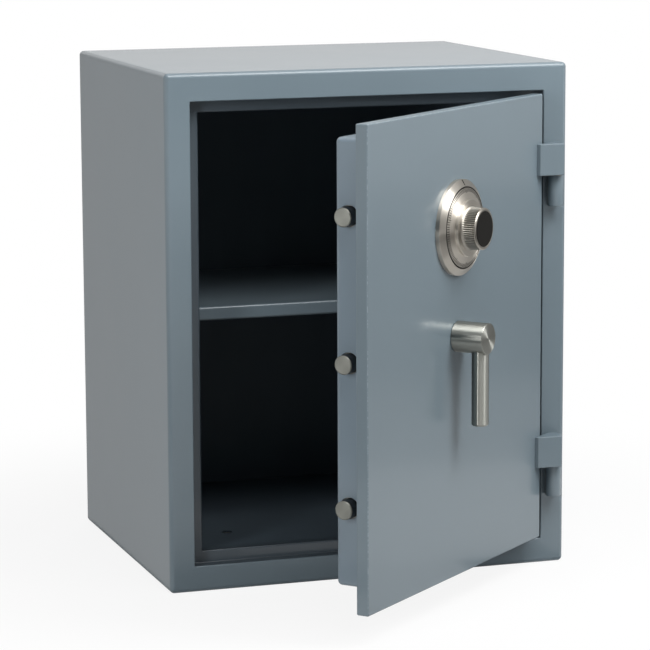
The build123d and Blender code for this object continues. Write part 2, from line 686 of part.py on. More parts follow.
def drive_rack():
    """A straight rack whose tooth space stands under the handle's axis while the bolts are drawn back."""
    pitch = math.pi * GEAR_MODULE
    slope = math.tan(math.radians(PRESSURE_ANGLE))
    tip = GEAR_ADDENDUM * GEAR_MODULE
    root = GEAR_DEDENDUM * GEAR_MODULE
    half = pitch / 4 - GEAR_BACKLASH / 4
    left_teeth = RACK_TEETH // 2 - 1
    start = AXIS_X - (left_teeth + 0.5) * pitch
    points = [(RACK_LEFT, RACK_PITCH_Z - RACK_DEPTH), (RACK_LEFT, RACK_PITCH_Z - root)]
    for tooth in range(RACK_TEETH):
        x = start + tooth * pitch
        points += [
            (x - half - root * slope, RACK_PITCH_Z - root),
            (x - half + tip * slope, RACK_PITCH_Z + tip),
            (x + half - tip * slope, RACK_PITCH_Z + tip),
            (x + half + root * slope, RACK_PITCH_Z - root),
        ]
    right = start + RACK_TEETH * pitch
    points += [(right, RACK_PITCH_Z - root), (right, RACK_PITCH_Z - RACK_DEPTH)]
    rack = prism_y(make_face(Polyline(*points, close=True)), WEB_BACK, RACK_BACK)
    for x, z in rivet_places():
        rack -= rod_y(x, z, RIVET_RADIUS, WEB_BACK - PAST, RACK_BACK + PAST)
    return rack


def rack_rivets():
    rivets = []
    for x, z in rivet_places():
        shank = rod_y(x, z, RIVET_RADIUS, WEB_FRONT, RACK_BACK)
        end = RACK_BACK + RIVET_HEAD_HEIGHT
        head = rod_y(x, z, RIVET_HEAD_RADIUS, RACK_BACK, end)
        rivets.append(shank + chamfer(edges_on(head, Axis.Y, end), RIVET_HEAD_CHAMFER))
    return Compound(children=rivets)


# Lever handle


def pinion_outline():
    """Sixteen involute teeth, one of them pointing straight down into the rack."""
    base = PITCH_RADIUS * math.cos(math.radians(PRESSURE_ANGLE))
    tip = PITCH_RADIUS + GEAR_ADDENDUM * GEAR_MODULE
    root = PITCH_RADIUS - GEAR_DEDENDUM * GEAR_MODULE

    def roll(radius):
        return math.tan(math.acos(base / radius)) - math.acos(base / radius)

    half_tooth = (math.pi * GEAR_MODULE / 2 - GEAR_BACKLASH / 2) / (2 * PITCH_RADIUS)

    def flank(radius, side, middle):
        angle = middle + side * (half_tooth + roll(PITCH_RADIUS) - roll(max(radius, base)))
        return (radius * math.cos(angle), radius * math.sin(angle))

    edges = []
    step = 2 * math.pi / PINION_TEETH
    for tooth in range(PINION_TEETH):
        middle = -math.pi / 2 + tooth * step
        rise = [flank(radius, -1, middle) for radius in (base, (base + tip) / 2, tip)]
        fall = [flank(radius, 1, middle) for radius in (tip, (base + tip) / 2, base)]
        foot_up, foot_down = flank(root, -1, middle), flank(root, 1, middle)
        next_foot = flank(root, -1, middle + step)
        edges += [
            Line(foot_up, rise[0]),
            ThreePointArc(*rise),
            Line(rise[2], fall[0]),
            ThreePointArc(*fall),
            Line(fall[2], foot_down),
            Line(foot_down, next_foot),
        ]
    return make_face(Wire(edges))


def drive_pinion():
    teeth = prism_y(Pos(AXIS_X, HANDLE_Z) * pinion_outline(), PINION_FRONT, RACK_BACK)
    pinion = teeth + rod_y(AXIS_X, HANDLE_Z, PINION_HUB_RADIUS, RACK_BACK, SPINDLE_END)
    pinion -= rod_y(AXIS_X, HANDLE_Z, SPINDLE_RADIUS, PINION_FRONT - PAST, SPINDLE_END + PAST)
    return pinion - cross_pin_rod()


def cross_pin_rod():
    y = RACK_BACK + PINION_HUB_LENGTH / 2
    return rod_x(y, HANDLE_Z, CROSS_PIN_RADIUS, AXIS_X - PINION_HUB_RADIUS, AXIS_X + PINION_HUB_RADIUS)


def pinion_pin():
    return cross_pin_rod()


def boss_solid():
    front = FRONT - BOSS_LENGTH
    boss = rod_y(AXIS_X, HANDLE_Z, BOSS_RADIUS, front, FRONT - BOSS_DOOR_GAP)
    return fillet(edges_on(boss, Axis.Y, front), BOSS_EDGE_RADIUS)


def lever_spigot():
    y = FRONT - LEVER_STANDOFF
    top = HANDLE_Z - BOSS_RADIUS + LEVER_SPIGOT_LENGTH
    return rod_z(AXIS_X, y, LEVER_SPIGOT_RADIUS, HANDLE_Z - BOSS_RADIUS - PAST, top)


def handle_boss():
    boss = boss_solid() - lever_spigot()
    return boss - rod_y(AXIS_X, HANDLE_Z, SPINDLE_RADIUS, FRONT - SPINDLE_SOCKET, FRONT + PAST)


def handle_lever():
    y = FRONT - LEVER_STANDOFF
    end = HANDLE_Z - LEVER_REACH
    grip = rod_z(AXIS_X, y, LEVER_RADIUS, end, HANDLE_Z - BOSS_RADIUS / 2)
    grip = chamfer(edges_on(grip, Axis.Z, end), LEVER_CHAMFER)
    coping = rod_y(AXIS_X, HANDLE_Z, BOSS_RADIUS, FRONT - LEVER_STANDOFF - 2 * LEVER_RADIUS, FRONT)
    return grip - coping + lever_spigot()


def handle_spindle():
    return rod_y(AXIS_X, HANDLE_Z, SPINDLE_RADIUS, FRONT - SPINDLE_SOCKET, SPINDLE_END) - cross_pin_rod()


def handle_bush():
    flange = rod_y(AXIS_X, HANDLE_Z, BUSH_FLANGE_RADIUS, PLATE_BACK, PLATE_BACK + BUSH_FLANGE_THICKNESS)
    sleeve = rod_y(AXIS_X, HANDLE_Z, SPINDLE_RADIUS + BUSH_WALL, FRONT, PLATE_BACK)
    return sleeve + flange - rod_y(AXIS_X, HANDLE_Z, SPINDLE_RADIUS + RUNNING_GAP, FRONT - PAST, PINION_FRONT)


# Combination dial


def dial_ring():
    bore = DIAL_RADIUS + DIAL_RUNNING_GAP
    profile = [
        (bore, 0),
        (RING_RADIUS, 0),
        (RING_RADIUS, RING_RIM),
        (bore + RING_LIP, RING_HEIGHT),
        (bore, RING_HEIGHT),
    ]
    ring = turned(profile, DIAL_Z)
    slope = math.degrees(math.atan2(RING_HEIGHT - RING_RIM, RING_RADIUS - bore - RING_LIP))
    side = INDEX_NOTCH_WIDTH / math.sqrt(2)
    notch = Rot(slope, 0, 0) * Rot(0, 0, 45) * Box(side, side, 2 * (RING_RADIUS - bore))
    lift = (RING_HEIGHT + RING_RIM) / 2 + INDEX_NOTCH_WIDTH / 2 - INDEX_NOTCH_DEPTH
    return ring - Pos(AXIS_X, FRONT - lift, DIAL_Z + (RING_RADIUS + bore + RING_LIP) / 2) * notch


def dial_disc():
    profile = [
        (DIAL_SPINDLE_RADIUS, DIAL_BACK_GAP),
        (DIAL_RADIUS, DIAL_BACK_GAP),
        (DIAL_RADIUS, DIAL_RIM),
        (DIAL_STEP_RADIUS, DIAL_STEP_BASE),
        (DIAL_STEP_RADIUS, DIAL_STEP_HEIGHT),
        (DIAL_SPINDLE_RADIUS, DIAL_STEP_HEIGHT),
    ]
    return turned(profile, DIAL_Z)


def dial_knob():
    base = DIAL_STEP_HEIGHT
    floor = KNOB_HEIGHT - CAP_SEAT
    profile = [
        (DIAL_SPINDLE_RADIUS, base),
        (KNOB_BASE_RADIUS, base),
        (KNOB_BASE_RADIUS, base + KNOB_FOOT),
        (KNOB_WAIST_RADIUS, base + KNOB_WAIST_HEIGHT),
        (KNOB_RIM_RADIUS, KNOB_HEIGHT - KNOB_BEVEL),
        (KNOB_RIM_RADIUS - KNOB_BEVEL, KNOB_HEIGHT),
        (CAP_RADIUS, KNOB_HEIGHT),
        (CAP_RADIUS, floor),
        (DIAL_SPINDLE_RADIUS, floor),
    ]
    knob = turned(profile, DIAL_Z)
    length = KNOB_HEIGHT - KNOB_BEVEL - base
    lean = math.degrees(math.atan2(KNOB_BASE_RADIUS - KNOB_RIM_RADIUS, length))
    groove = Rot(0, 0, 45) * Box(KNURL_WIDTH / math.sqrt(2), KNURL_WIDTH / math.sqrt(2), length)
    radius = (KNOB_BASE_RADIUS + KNOB_RIM_RADIUS) / 2 - KNURL_DEPTH + KNURL_WIDTH / 2
    groove = Pos(radius, -base - length / 2, 0) * Rot(0, 0, -lean) * Rot(90, 0, 0) * groove
    cutters = [Rot(0, turn * 360 / KNURL_COUNT, 0) * groove for turn in range(KNURL_COUNT)]
    return knob - [Pos(AXIS_X, FRONT, DIAL_Z) * cutter for cutter in cutters]


def dial_cap():
    floor = KNOB_HEIGHT - CAP_SEAT
    top = KNOB_HEIGHT + CAP_HEIGHT - CAP_SEAT
    rim = [(CAP_RADIUS, floor), (CAP_RADIUS, top - CAP_EDGE), (CAP_RADIUS - CAP_EDGE, top)]
    return turned([(0, floor), *rim, (0, top)], DIAL_Z)


def dial_spindle():
    front = FRONT - KNOB_HEIGHT + CAP_SEAT
    return rod_y(AXIS_X, DIAL_Z, DIAL_SPINDLE_RADIUS, front, CAM_BACK + SPINDLE_PAST_CAM)


# Combination lock


def case_box(inset, y0, y1):
    half_x, half_z = CASE_WIDTH / 2 - inset, CASE_HEIGHT / 2 - inset
    box = block(AXIS_X - half_x, AXIS_X + half_x, y0, y1, DIAL_Z - half_z, DIAL_Z + half_z)
    return fillet(box.edges().filter_by(Axis.Y), CASE_CORNER_RADIUS - inset)


def case_screw_places():
    dx, dz = CASE_WIDTH / 2 - CASE_POST_RADIUS, CASE_HEIGHT / 2 - CASE_POST_RADIUS
    return [(AXIS_X - dx, DIAL_Z + dz), (AXIS_X + dx, DIAL_Z + dz), (AXIS_X + dx, DIAL_Z - dz)]


def lock_bolt_blank(gap, z0, z1):
    half = LOCK_BOLT_WIDTH / 2 + gap
    return block(LOCK_BOLT_X - half, LOCK_BOLT_X + half, LOCK_BOLT_FRONT - gap, LOCK_BOLT_BACK + gap, z0, z1)


def lock_case():
    case = case_box(0, PLATE_BACK, CASE_BACK) - case_box(CASE_WALL, PLATE_BACK + CASE_WALL, CASE_BACK + PAST)
    for x, z in case_screw_places():
        case += rod_y(x, z, CASE_POST_RADIUS, PLATE_BACK, CASE_BACK)
    for x, z in case_screw_places():
        case -= rod_y(x, z, COVER_SCREW_RADIUS, PLATE_BACK - PAST, CASE_BACK + PAST)
    case -= rod_y(AXIS_X, DIAL_Z, SPINDLE_TUBE_RADIUS, PLATE_BACK - PAST, CASE_BACK)
    return case - lock_bolt_blank(WHEEL_FACE_GAP, CASE_BOTTOM - PAST, CASE_BOTTOM + CASE_WALL + PAST)


def lock_cover():
    cover = case_box(0, CASE_BACK, CASE_BACK + CASE_COVER_THICKNESS)
    for x, z in case_screw_places():
        cover -= rod_y(x, z, COVER_SCREW_RADIUS, CASE_BACK - PAST, CASE_BACK + CASE_COVER_THICKNESS + PAST)
    return cover


def lock_screws():
    seat = CASE_BACK + CASE_COVER_THICKNESS
    screws = []
    for x, z in case_screw_places():
        shank = rod_y(x, z, COVER_SCREW_RADIUS, PLATE_BACK, seat)
        screws.append(shank + rod_y(x, z, CASE_POST_RADIUS, seat, seat + SCREW_HEAD_HEIGHT))
    return Compound(children=screws)


def spindle_tube():
    tube = rod_y(AXIS_X, DIAL_Z, SPINDLE_TUBE_RADIUS, FRONT, STACK_BACK)
    return tube - rod_y(AXIS_X, DIAL_Z, DIAL_SPINDLE_RADIUS + RUNNING_GAP, FRONT - PAST, STACK_BACK + PAST)


def gate(radius, y0, y1):
    """The slot in a wheel's edge that the fence drops into."""
    x0, half = AXIS_X - radius, WHEEL_GATE_WIDTH / 2
    return block(x0 - PAST, x0 + WHEEL_GATE_DEPTH, y0 - PAST, y1 + PAST, DIAL_Z - half, DIAL_Z + half)


def combination_wheel(index):
    y0 = STACK_FRONT + index * STACK_PITCH
    y1 = y0 + WHEEL_THICKNESS
    wheel = rod_y(AXIS_X, DIAL_Z, WHEEL_RADIUS, y0, y1)
    wheel -= rod_y(AXIS_X, DIAL_Z, SPINDLE_TUBE_RADIUS + RUNNING_GAP, y0 - PAST, y1 + PAST)
    wheel -= gate(WHEEL_RADIUS, y0, y1)
    for turn in range(3):
        angle = math.radians(turn * 120)
        x = AXIS_X + WHEEL_HOLE_CIRCLE * math.cos(angle)
        z = DIAL_Z + WHEEL_HOLE_CIRCLE * math.sin(angle)
        wheel -= rod_y(x, z, WHEEL_HOLE_RADIUS, y0 - PAST, y1 + PAST)
    return wheel


def wheel_spacers():
    spacers = []
    for index in range(WHEEL_COUNT):
        y0 = STACK_FRONT + index * STACK_PITCH + WHEEL_THICKNESS + WHEEL_FACE_GAP
        y1 = y0 + SPACER_THICKNESS
        ring = rod_y(AXIS_X, DIAL_Z, SPACER_RADIUS, y0, y1)
        spacers.append(ring - rod_y(AXIS_X, DIAL_Z, SPINDLE_TUBE_RADIUS, y0 - PAST, y1 + PAST))
    return Compound(children=spacers)


def drive_cam():
    cam = rod_y(AXIS_X, DIAL_Z, CAM_RADIUS, CAM_FRONT, CAM_BACK)
    cam -= rod_y(AXIS_X, DIAL_Z, DIAL_SPINDLE_RADIUS, CAM_FRONT - PAST, CAM_BACK + PAST)
    return cam - gate(CAM_RADIUS, CAM_FRONT, CAM_BACK)


def lock_bolt():
    bolt = lock_bolt_blank(0, LOCK_BOLT_TIP, LOCK_BOLT_TIP + LOCK_BOLT_HEIGHT)
    return chamfer(edges_on(bolt, Axis.Z, LOCK_BOLT_TIP), LOCK_BOLT_CHAMFER)


def fence_x():
    return AXIS_X - WHEEL_RADIUS - FENCE_GAP - FENCE_RADIUS


def lock_lever():
    """A flat lever on the lock bolt that carries the fence beside the wheels' gates."""
    top = LOCK_BOLT_TIP + LOCK_BOLT_HEIGHT
    foot = top - (LOCK_BOLT_HEIGHT - CASE_WALL - LOCK_BOLT_TRAVEL - LOCK_LEVER_GAP)
    left = fence_x() - 2 * FENCE_RADIUS
    y1 = LOCK_BOLT_BACK + LEVER_PLATE_THICKNESS
    base = block(left, LOCK_BOLT_X + LOCK_BOLT_WIDTH / 2, LOCK_BOLT_BACK, y1, foot, top)
    arm = block(left, fence_x() + FENCE_RADIUS, LOCK_BOLT_BACK, y1, foot, DIAL_Z + 2 * FENCE_RADIUS)
    return base + arm


def fence_pin():
    return rod_y(fence_x(), DIAL_Z, FENCE_RADIUS, STACK_FRONT, LOCK_BOLT_BACK)


CABINET_NODES = {
    "outer_shell": outer_shell,
    "back_panel": back_panel,
    "door_frame": door_frame,
    "inner_liner": inner_liner,
    "barrier_fill": barrier_fill,
    "anchor_sleeves": anchor_sleeves,
    "shelf": shelf,
    "shelf_brackets": shelf_brackets,
    "hinge_washers": hinge_washers,
}

DOOR_NODES = {
    "door_plate": door_plate,
    "bolt_housing": bolt_housing,
    "back_cover": back_cover,
    "cover_screws": cover_screws,
    "dead_bar": dead_bar,
    "bolt_guide": bolt_guide,
    "bar_guide_studs": bar_guide_studs,
    "handle_bush": handle_bush,
    "dial_ring": dial_ring,
    "spindle_tube": spindle_tube,
    "wheel_spacers": wheel_spacers,
    "lock_case": lock_case,
    "lock_cover": lock_cover,
    "lock_screws": lock_screws,
    "handle_boss": handle_boss,
    "handle_lever": handle_lever,
    "handle_spindle": handle_spindle,
    "drive_pinion": drive_pinion,
    "pinion_pin": pinion_pin,
    "bolt_bar": bolt_bar,
    "drive_rack": drive_rack,
    "rack_rivets": rack_rivets,
    "bolt_nuts": bolt_nuts,
    "dial_disc": dial_disc,
    "dial_knob": dial_knob,
    "dial_cap": dial_cap,
    "dial_spindle": dial_spindle,
    "drive_cam": drive_cam,
    "lock_bolt": lock_bolt,
    "lock_lever": lock_lever,
    "fence_pin": fence_pin,
}


def build():
    fixed = {name: make() for name, make in CABINET_NODES.items()}
    hung = {name: make() for name, make in DOOR_NODES.items()}
    for name, base in HINGE_BASES.items():
        fixed["hinge_barrel_" + name] = hinge_barrel(base)
        fixed["hinge_pin_" + name] = hinge_pin(base)
        hung["hinge_block_" + name] = hinge_block(base)
    for name, z in BOLT_HEIGHTS.items():
        hung["locking_bolt_" + name] = locking_bolt(z)
    for index in range(WHEEL_COUNT):
        hung["combination_wheel_" + str(index + 1)] = combination_wheel(index)
    turn = Pos(PIN_X, PIN_Y, 0) * Rot(0, 0, DOOR_REST_ANGLE) * Pos(-PIN_X, -PIN_Y, 0)
    return fixed | {name: turn * piece for name, piece in hung.items()}


os.makedirs("parts", exist_ok=True)
for name, piece in build().items():
    export_step(piece, "parts/" + name + ".step")
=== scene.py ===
# Security safe with its door open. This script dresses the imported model: it never moves or resizes it.
# All lengths are in metres in the model's own frame: X right, Y back, Z up, origin under the cabinet.
import json
import math

import bmesh
import bpy
from mathutils import Matrix, Vector

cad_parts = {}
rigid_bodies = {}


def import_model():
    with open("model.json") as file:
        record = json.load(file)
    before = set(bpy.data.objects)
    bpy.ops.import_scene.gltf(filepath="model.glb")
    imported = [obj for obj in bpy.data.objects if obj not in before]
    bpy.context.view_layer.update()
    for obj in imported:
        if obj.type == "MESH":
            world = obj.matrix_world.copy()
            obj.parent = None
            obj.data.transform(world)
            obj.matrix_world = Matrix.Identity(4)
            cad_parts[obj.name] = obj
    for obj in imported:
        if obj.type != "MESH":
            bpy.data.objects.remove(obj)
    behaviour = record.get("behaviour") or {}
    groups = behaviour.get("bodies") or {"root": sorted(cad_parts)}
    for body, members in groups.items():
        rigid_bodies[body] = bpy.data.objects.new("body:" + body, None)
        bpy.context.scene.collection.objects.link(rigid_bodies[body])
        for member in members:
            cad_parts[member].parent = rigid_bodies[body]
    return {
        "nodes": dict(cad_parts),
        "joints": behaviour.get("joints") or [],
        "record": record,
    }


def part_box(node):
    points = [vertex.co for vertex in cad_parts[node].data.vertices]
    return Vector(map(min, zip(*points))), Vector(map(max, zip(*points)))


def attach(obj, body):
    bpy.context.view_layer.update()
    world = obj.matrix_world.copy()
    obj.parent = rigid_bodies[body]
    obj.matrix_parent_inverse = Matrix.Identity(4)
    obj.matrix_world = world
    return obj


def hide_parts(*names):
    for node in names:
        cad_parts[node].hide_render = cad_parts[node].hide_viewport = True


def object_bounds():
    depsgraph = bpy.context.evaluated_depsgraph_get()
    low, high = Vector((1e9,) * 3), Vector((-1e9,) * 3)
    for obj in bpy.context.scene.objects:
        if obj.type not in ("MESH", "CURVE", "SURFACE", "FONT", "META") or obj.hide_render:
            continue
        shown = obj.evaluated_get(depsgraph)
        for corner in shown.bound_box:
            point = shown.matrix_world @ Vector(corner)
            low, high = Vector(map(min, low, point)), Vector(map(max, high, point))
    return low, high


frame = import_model()
cadLow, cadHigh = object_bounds()
joints = {joint["name"]: joint for joint in frame["joints"]}
print("frame loaded:", len(frame["nodes"]), "nodes")


# Places that the frame gives

def doorAtRest():
    # the lever turns about the door's thickness, so its axis gives the angle the door stands open at
    across = Vector(joints["handle_turn"]["axis"])
    pin = Vector(joints["door_hinge"]["pos_m"])
    turn = Matrix.Rotation(math.atan2(-across.x, across.y), 4, "Z")
    return Matrix.Translation(pin) @ turn @ Matrix.Translation(-pin)


doorMatrix = doorAtRest()
doorShut = doorMatrix.inverted()


def shutBox(node):
    # lowest and highest corner of a door piece, measured with the door shut
    points = [doorShut @ vertex.co for vertex in frame["nodes"][node].data.vertices]
    low = Vector([min(point[i] for point in points) for i in range(3)])
    high = Vector([max(point[i] for point in points) for i in range(3)])
    return low, high


def shutPlace(jointName):
    return doorShut @ Vector(joints[jointName]["pos_m"])


plateLow, plateHigh = shutBox("door_plate")
handlePlace = shutPlace("handle_turn")
dialPlace = shutPlace("dial_turn")
hingePlace = Vector(joints["door_hinge"]["pos_m"])


# Mesh helpers

def show(piece):
    bpy.context.scene.collection.objects.link(piece)


def makePiece(name, vertices, faces, body, material, matrix=None, replaces=(), crease=35):
    mesh = bpy.data.meshes.new(name)
    mesh.from_pydata([tuple(vertex) for vertex in vertices], [], faces)
    tidy = bmesh.new()
    tidy.from_mesh(mesh)
    bmesh.ops.remove_doubles(tidy, verts=tidy.verts, dist=1e-6)
    bmesh.ops.dissolve_degenerate(tidy, edges=tidy.edges, dist=1e-6)
    bmesh.ops.recalc_face_normals(tidy, faces=tidy.faces)
    tidy.to_mesh(mesh)
    tidy.free()
    return dressPiece(name, mesh, body, material, matrix, replaces, crease)


def dressPiece(name, mesh, body, material, matrix, replaces, crease):
    mesh.shade_smooth()
    mesh.set_sharp_from_angle(angle=math.radians(crease))
    piece = bpy.data.objects.new(name, mesh)
    show(piece)
    if matrix is not None:
        piece.matrix_world = matrix
    mesh.materials.append(material)
    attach(piece, body)
    if replaces:
        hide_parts(*replaces)
    return piece


def arc(centre, radius, start, end, steps):
    # points (a, b) on an arc, angles in degrees
    turns = [math.radians(start + (end - start) * step / steps) for step in range(steps + 1)]
    return [(centre[0] + radius * math.cos(turn), centre[1] + radius * math.sin(turn)) for turn in turns]


def lathe(profile, segments, ridge=None):
    # turns (radius, height) points about local Z; ridge(index, angle) is taken off a radius
    vertices, faces = [], []
    rows = len(profile)
    for step in range(segments):
        angle = 2 * math.pi * step / segments
        for index, (radius, height) in enumerate(profile):
            reach = radius - (ridge(index, angle) if ridge else 0)
            vertices.append((reach * math.cos(angle), reach * math.sin(angle), height))
    for step in range(segments):
        here, there = step * rows, (step + 1) % segments * rows
        for index in range(rows - 1):
            faces.append((here + index, there + index, there + index + 1, here + index + 1))
    if profile[0] != profile[-1]:
        # closes the pinholes that the two ends leave on the axis
        faces.append([step * rows for step in reversed(range(segments))])
        faces.append([step * rows + rows - 1 for step in range(segments)])
    return vertices, faces


def turnedEdge(radius, height, steps):
    # steps: (inwards, upwards) from the corner of a turned piece
    return [(radius - inwards, height + upwards) for inwards, upwards in steps]


def roundedLoop(low, high, y, radius, steps):
    # a rectangle with round corners, in a plane of constant Y
    corners = [(high[0], high[1], 0), (low[0], high[1], 90), (low[0], low[1], 180), (high[0], low[1], 270)]
    loop = []
    for x, z, start in corners:
        inX = -radius if x == high[0] else radius
        inZ = -radius if z == high[1] else radius
        loop += [(a, y, b) for a, b in arc((x + inX, z + inZ), radius, start, start + 90, steps)]
    return loop


def inset(low, high, amount):
    return (low[0] + amount, low[1] + amount), (high[0] - amount, high[1] - amount)


def insetLoop(box, amount, y, radius, steps):
    return roundedLoop(*inset(*box, amount), y, radius, steps)


def loftLoops(loops, closed=False):
    count = len(loops[0])
    vertices = [vertex for loop in loops for vertex in loop]
    faces = []
    for row in range(len(loops) if closed else len(loops) - 1):
        here, there = row * count, (row + 1) % len(loops) * count
        for index in range(count):
            after = (index + 1) % count
            faces.append((here + index, here + after, there + after, there + index))
    return vertices, faces


def roundedBox(low, high, radius, steps):
    box = bmesh.new()
    bmesh.ops.create_cube(box, size=1)
    middle, size = (low + high) / 2, high - low
    for vertex in box.verts:
        vertex.co = Vector([middle[i] + vertex.co[i] * size[i] for i in range(3)])
    bmesh.ops.bevel(box, geom=list(box.edges), offset=radius, segments=steps, profile=0.5, affect="EDGES")
    return box


def meshFrom(name, form):
    mesh = bpy.data.meshes.new(name)
    form.to_mesh(mesh)
    form.free()
    return mesh


def cutHoles(piece, holes, steps=64, crease=35):
    # holes: (start, end, radius) in the piece's own space
    for index, (start, end, radius) in enumerate(holes):
        along = end - start
        cutter = bmesh.new()
        bmesh.ops.create_cone(
            cutter, cap_ends=True, segments=steps, radius1=radius, radius2=radius, depth=along.length
        )
        turn = along.to_track_quat("Z", "Y").to_matrix().to_4x4()
        cutter.transform(Matrix.Translation((start + end) / 2) @ turn)
        tool = bpy.data.objects.new("cutter%d" % index, meshFrom("cutter", cutter))
        show(tool)
        tool.matrix_world = piece.matrix_world
        change = piece.modifiers.new("hole", "BOOLEAN")
        change.solver = "EXACT"
        change.object = tool
        bpy.context.view_layer.update()
        result = piece.evaluated_get(bpy.context.evaluated_depsgraph_get())
        cut = bpy.data.meshes.new_from_object(result)
        piece.modifiers.clear()
        piece.data = cut
        bpy.data.objects.remove(tool)
    piece.data.shade_smooth()
    piece.data.set_sharp_from_angle(angle=math.radians(crease))


def flattenNormals(piece):
    # flat faces keep their own normal and the rounded edges take up the turn
    change = piece.modifiers.new("weighted", "WEIGHTED_NORMAL")
    change.keep_sharp = True
    change.weight = 100


def shrinkLoop(points, amount):
    # moves every side of an anticlockwise outline inwards
    moved = []
    for index, here in enumerate(points):
        before, after = points[index - 1], points[(index + 1) % len(points)]
        normals = []
        for a, b in ((before, here), (here, after)):
            length = math.hypot(b[0] - a[0], b[1] - a[1])
            normals.append(((a[1] - b[1]) / length, (b[0] - a[0]) / length))
        (ax, ay), (bx, by) = normals
        share = amount / (1 + ax * bx + ay * by)
        moved.append((here[0] + (ax + bx) * share, here[1] + (ay + by) * share))
    return moved


def extrudeOutline(outline, bottom, top, bottomRound, topRound, steps=4):
    # an upright solid from an outline, with its lower and upper edges rounded
    rows = []
    for across, along in arc((bottomRound, bottomRound), bottomRound, 270, 180, steps):
        rows.append((across, bottom + along))
    for across, along in arc((topRound, topRound), topRound, 180, 90, steps):
        rows.append((across, top - 2 * topRound + along))
    loops = [[(x, y, z) for x, y in shrinkLoop(outline, across)] for across, z in rows]
    vertices, faces = loftLoops(loops)
    count = len(outline)
    faces.append(tuple(reversed(range(count))))
    faces.append(tuple(range(len(vertices) - count, len(vertices))))
    return vertices, faces


def softenUprights(piece, width):
    change = piece.modifiers.new("bevel", "BEVEL")
    change.width = width
    change.segments = 3
    change.limit_method = "ANGLE"
    change.angle_limit = math.radians(30)
    change.use_clamp_overlap = True
    flattenNormals(piece)


# Material helpers

def linear(hexColour):
    values = [int(hexColour[i:i + 2], 16) / 255 for i in (1, 3, 5)]
    return [v / 12.92 if v <= 0.04045 else ((v + 0.055) / 1.055) ** 2.4 for v in values] + [1]


def darker(colour, share):
    return [channel * share for channel in colour[:3]] + [1]


def perMetre(millimetres):
    # a pattern's scale from the real size of one repeat
    return 1000 / millimetres


def addNode(tree, kind, inputs=None, **settings):
    node = tree.nodes.new(kind)
    for name, value in settings.items():
        setattr(node, name, value)
    for name, value in (inputs or {}).items():
        if isinstance(value, bpy.types.NodeSocket):
            tree.links.new(value, node.inputs[name])
        else:
            node.inputs[name].default_value = value
    return node


def startMaterial(name):
    material = bpy.data.materials.new(name)
    material.use_nodes = True
    material.node_tree.nodes.clear()
    return material, material.node_tree


def grainOver(tree, place, size, dark, light, pattern):
    # one noise that both tints the colour and roughens the face
    grain = addNode(tree, "ShaderNodeTexNoise", {
        "Vector": place, "Scale": perMetre(size), "Detail": pattern["detail"],
    }).outputs["Fac"]
    tint = addNode(tree, "ShaderNodeMix", {"Factor": grain, "A": dark, "B": light}, data_type="RGBA")
    bump = addNode(tree, "ShaderNodeBump", {
        "Height": grain, "Distance": pattern["depth"], "Strength": pattern["strength"],
    })
    return tint.outputs["Result"], bump.outputs["Normal"], grain


def closeMaterial(tree, inputs):
    shader = addNode(tree, "ShaderNodeBsdfPrincipled", inputs)
    addNode(tree, "ShaderNodeOutputMaterial", {"Surface": shader.outputs["BSDF"]})


# Two-pack polyurethane enamel, sprayed over primed sheet steel and left to level.
# The eye sees a soft blue-grey with a wide, slightly rippled sheen, and paler bare spots on worn edges,
# lightened further as a painted highlight along the door's edge.
enamel = {
    "colour": "#68767e",
    "cloudColour": "#6e7c84",
    "cloudSize": 210,  # mm, uneven film thickness from the spray gun's passes
    "peelSize": 3.2,  # mm, orange peel, drawn coarser than life so that it shows
    "peelDepth": 0.00003,
    "roughness": 0.36,
    "roughnessSwing": (-0.04, 0.05),  # thin film to thick
    "ior": 1.5,
    "coat": 0.6,
    "coatRoughness": 0.13,
    "wornAndHighlightColour": "#aeb8bd",
    "wornBand": 1.1,  # mm, how far wear reaches in from an edge
    "wornSpot": 2.4,  # mm
    "wornFrom": 0.5,  # of the spot pattern, where paint starts to thin
    "wornTo": 0.58,  # and where it is gone
}


def sprayedEnamel(name, colour=enamel["colour"], cloudColour=enamel["cloudColour"], edges=()):
    # edges: two (axis, place) planes each, in the piece's own space, that cross where the wear and painted
    # edge highlight run
    material, tree = startMaterial(name)
    place = addNode(tree, "ShaderNodeTexCoord").outputs["Object"]
    cloud = addNode(tree, "ShaderNodeTexNoise", {
        "Vector": place, "Scale": perMetre(enamel["cloudSize"]), "Detail": 3, "Roughness": 0.55,
    })
    tint = addNode(tree, "ShaderNodeMix", {
        "Factor": cloud.outputs["Fac"], "A": linear(colour), "B": linear(cloudColour),
    }, data_type="RGBA")
    colourOut = tint.outputs["Result"]
    if edges:
        colourOut = wornEdgesAndHighlight(tree, place, colourOut, edges)
    peel = addNode(tree, "ShaderNodeTexNoise", {
        "Vector": place, "Scale": perMetre(enamel["peelSize"]), "Detail": 2,
    })
    bump = addNode(tree, "ShaderNodeBump", {
        "Height": peel.outputs["Fac"], "Distance": enamel["peelDepth"], "Strength": 0.35,
    })
    gloss = addNode(tree, "ShaderNodeMapRange", {
        "Value": cloud.outputs["Fac"],
        "To Min": enamel["roughness"] + enamel["roughnessSwing"][0],
        "To Max": enamel["roughness"] + enamel["roughnessSwing"][1],
    })
    closeMaterial(tree, {
        "Base Color": colourOut,
        "Roughness": gloss.outputs["Result"],
        "IOR": enamel["ior"],
        "Coat Weight": enamel["coat"],
        "Coat Roughness": enamel["coatRoughness"],
        "Normal": bump.outputs["Normal"],
    })
    return material


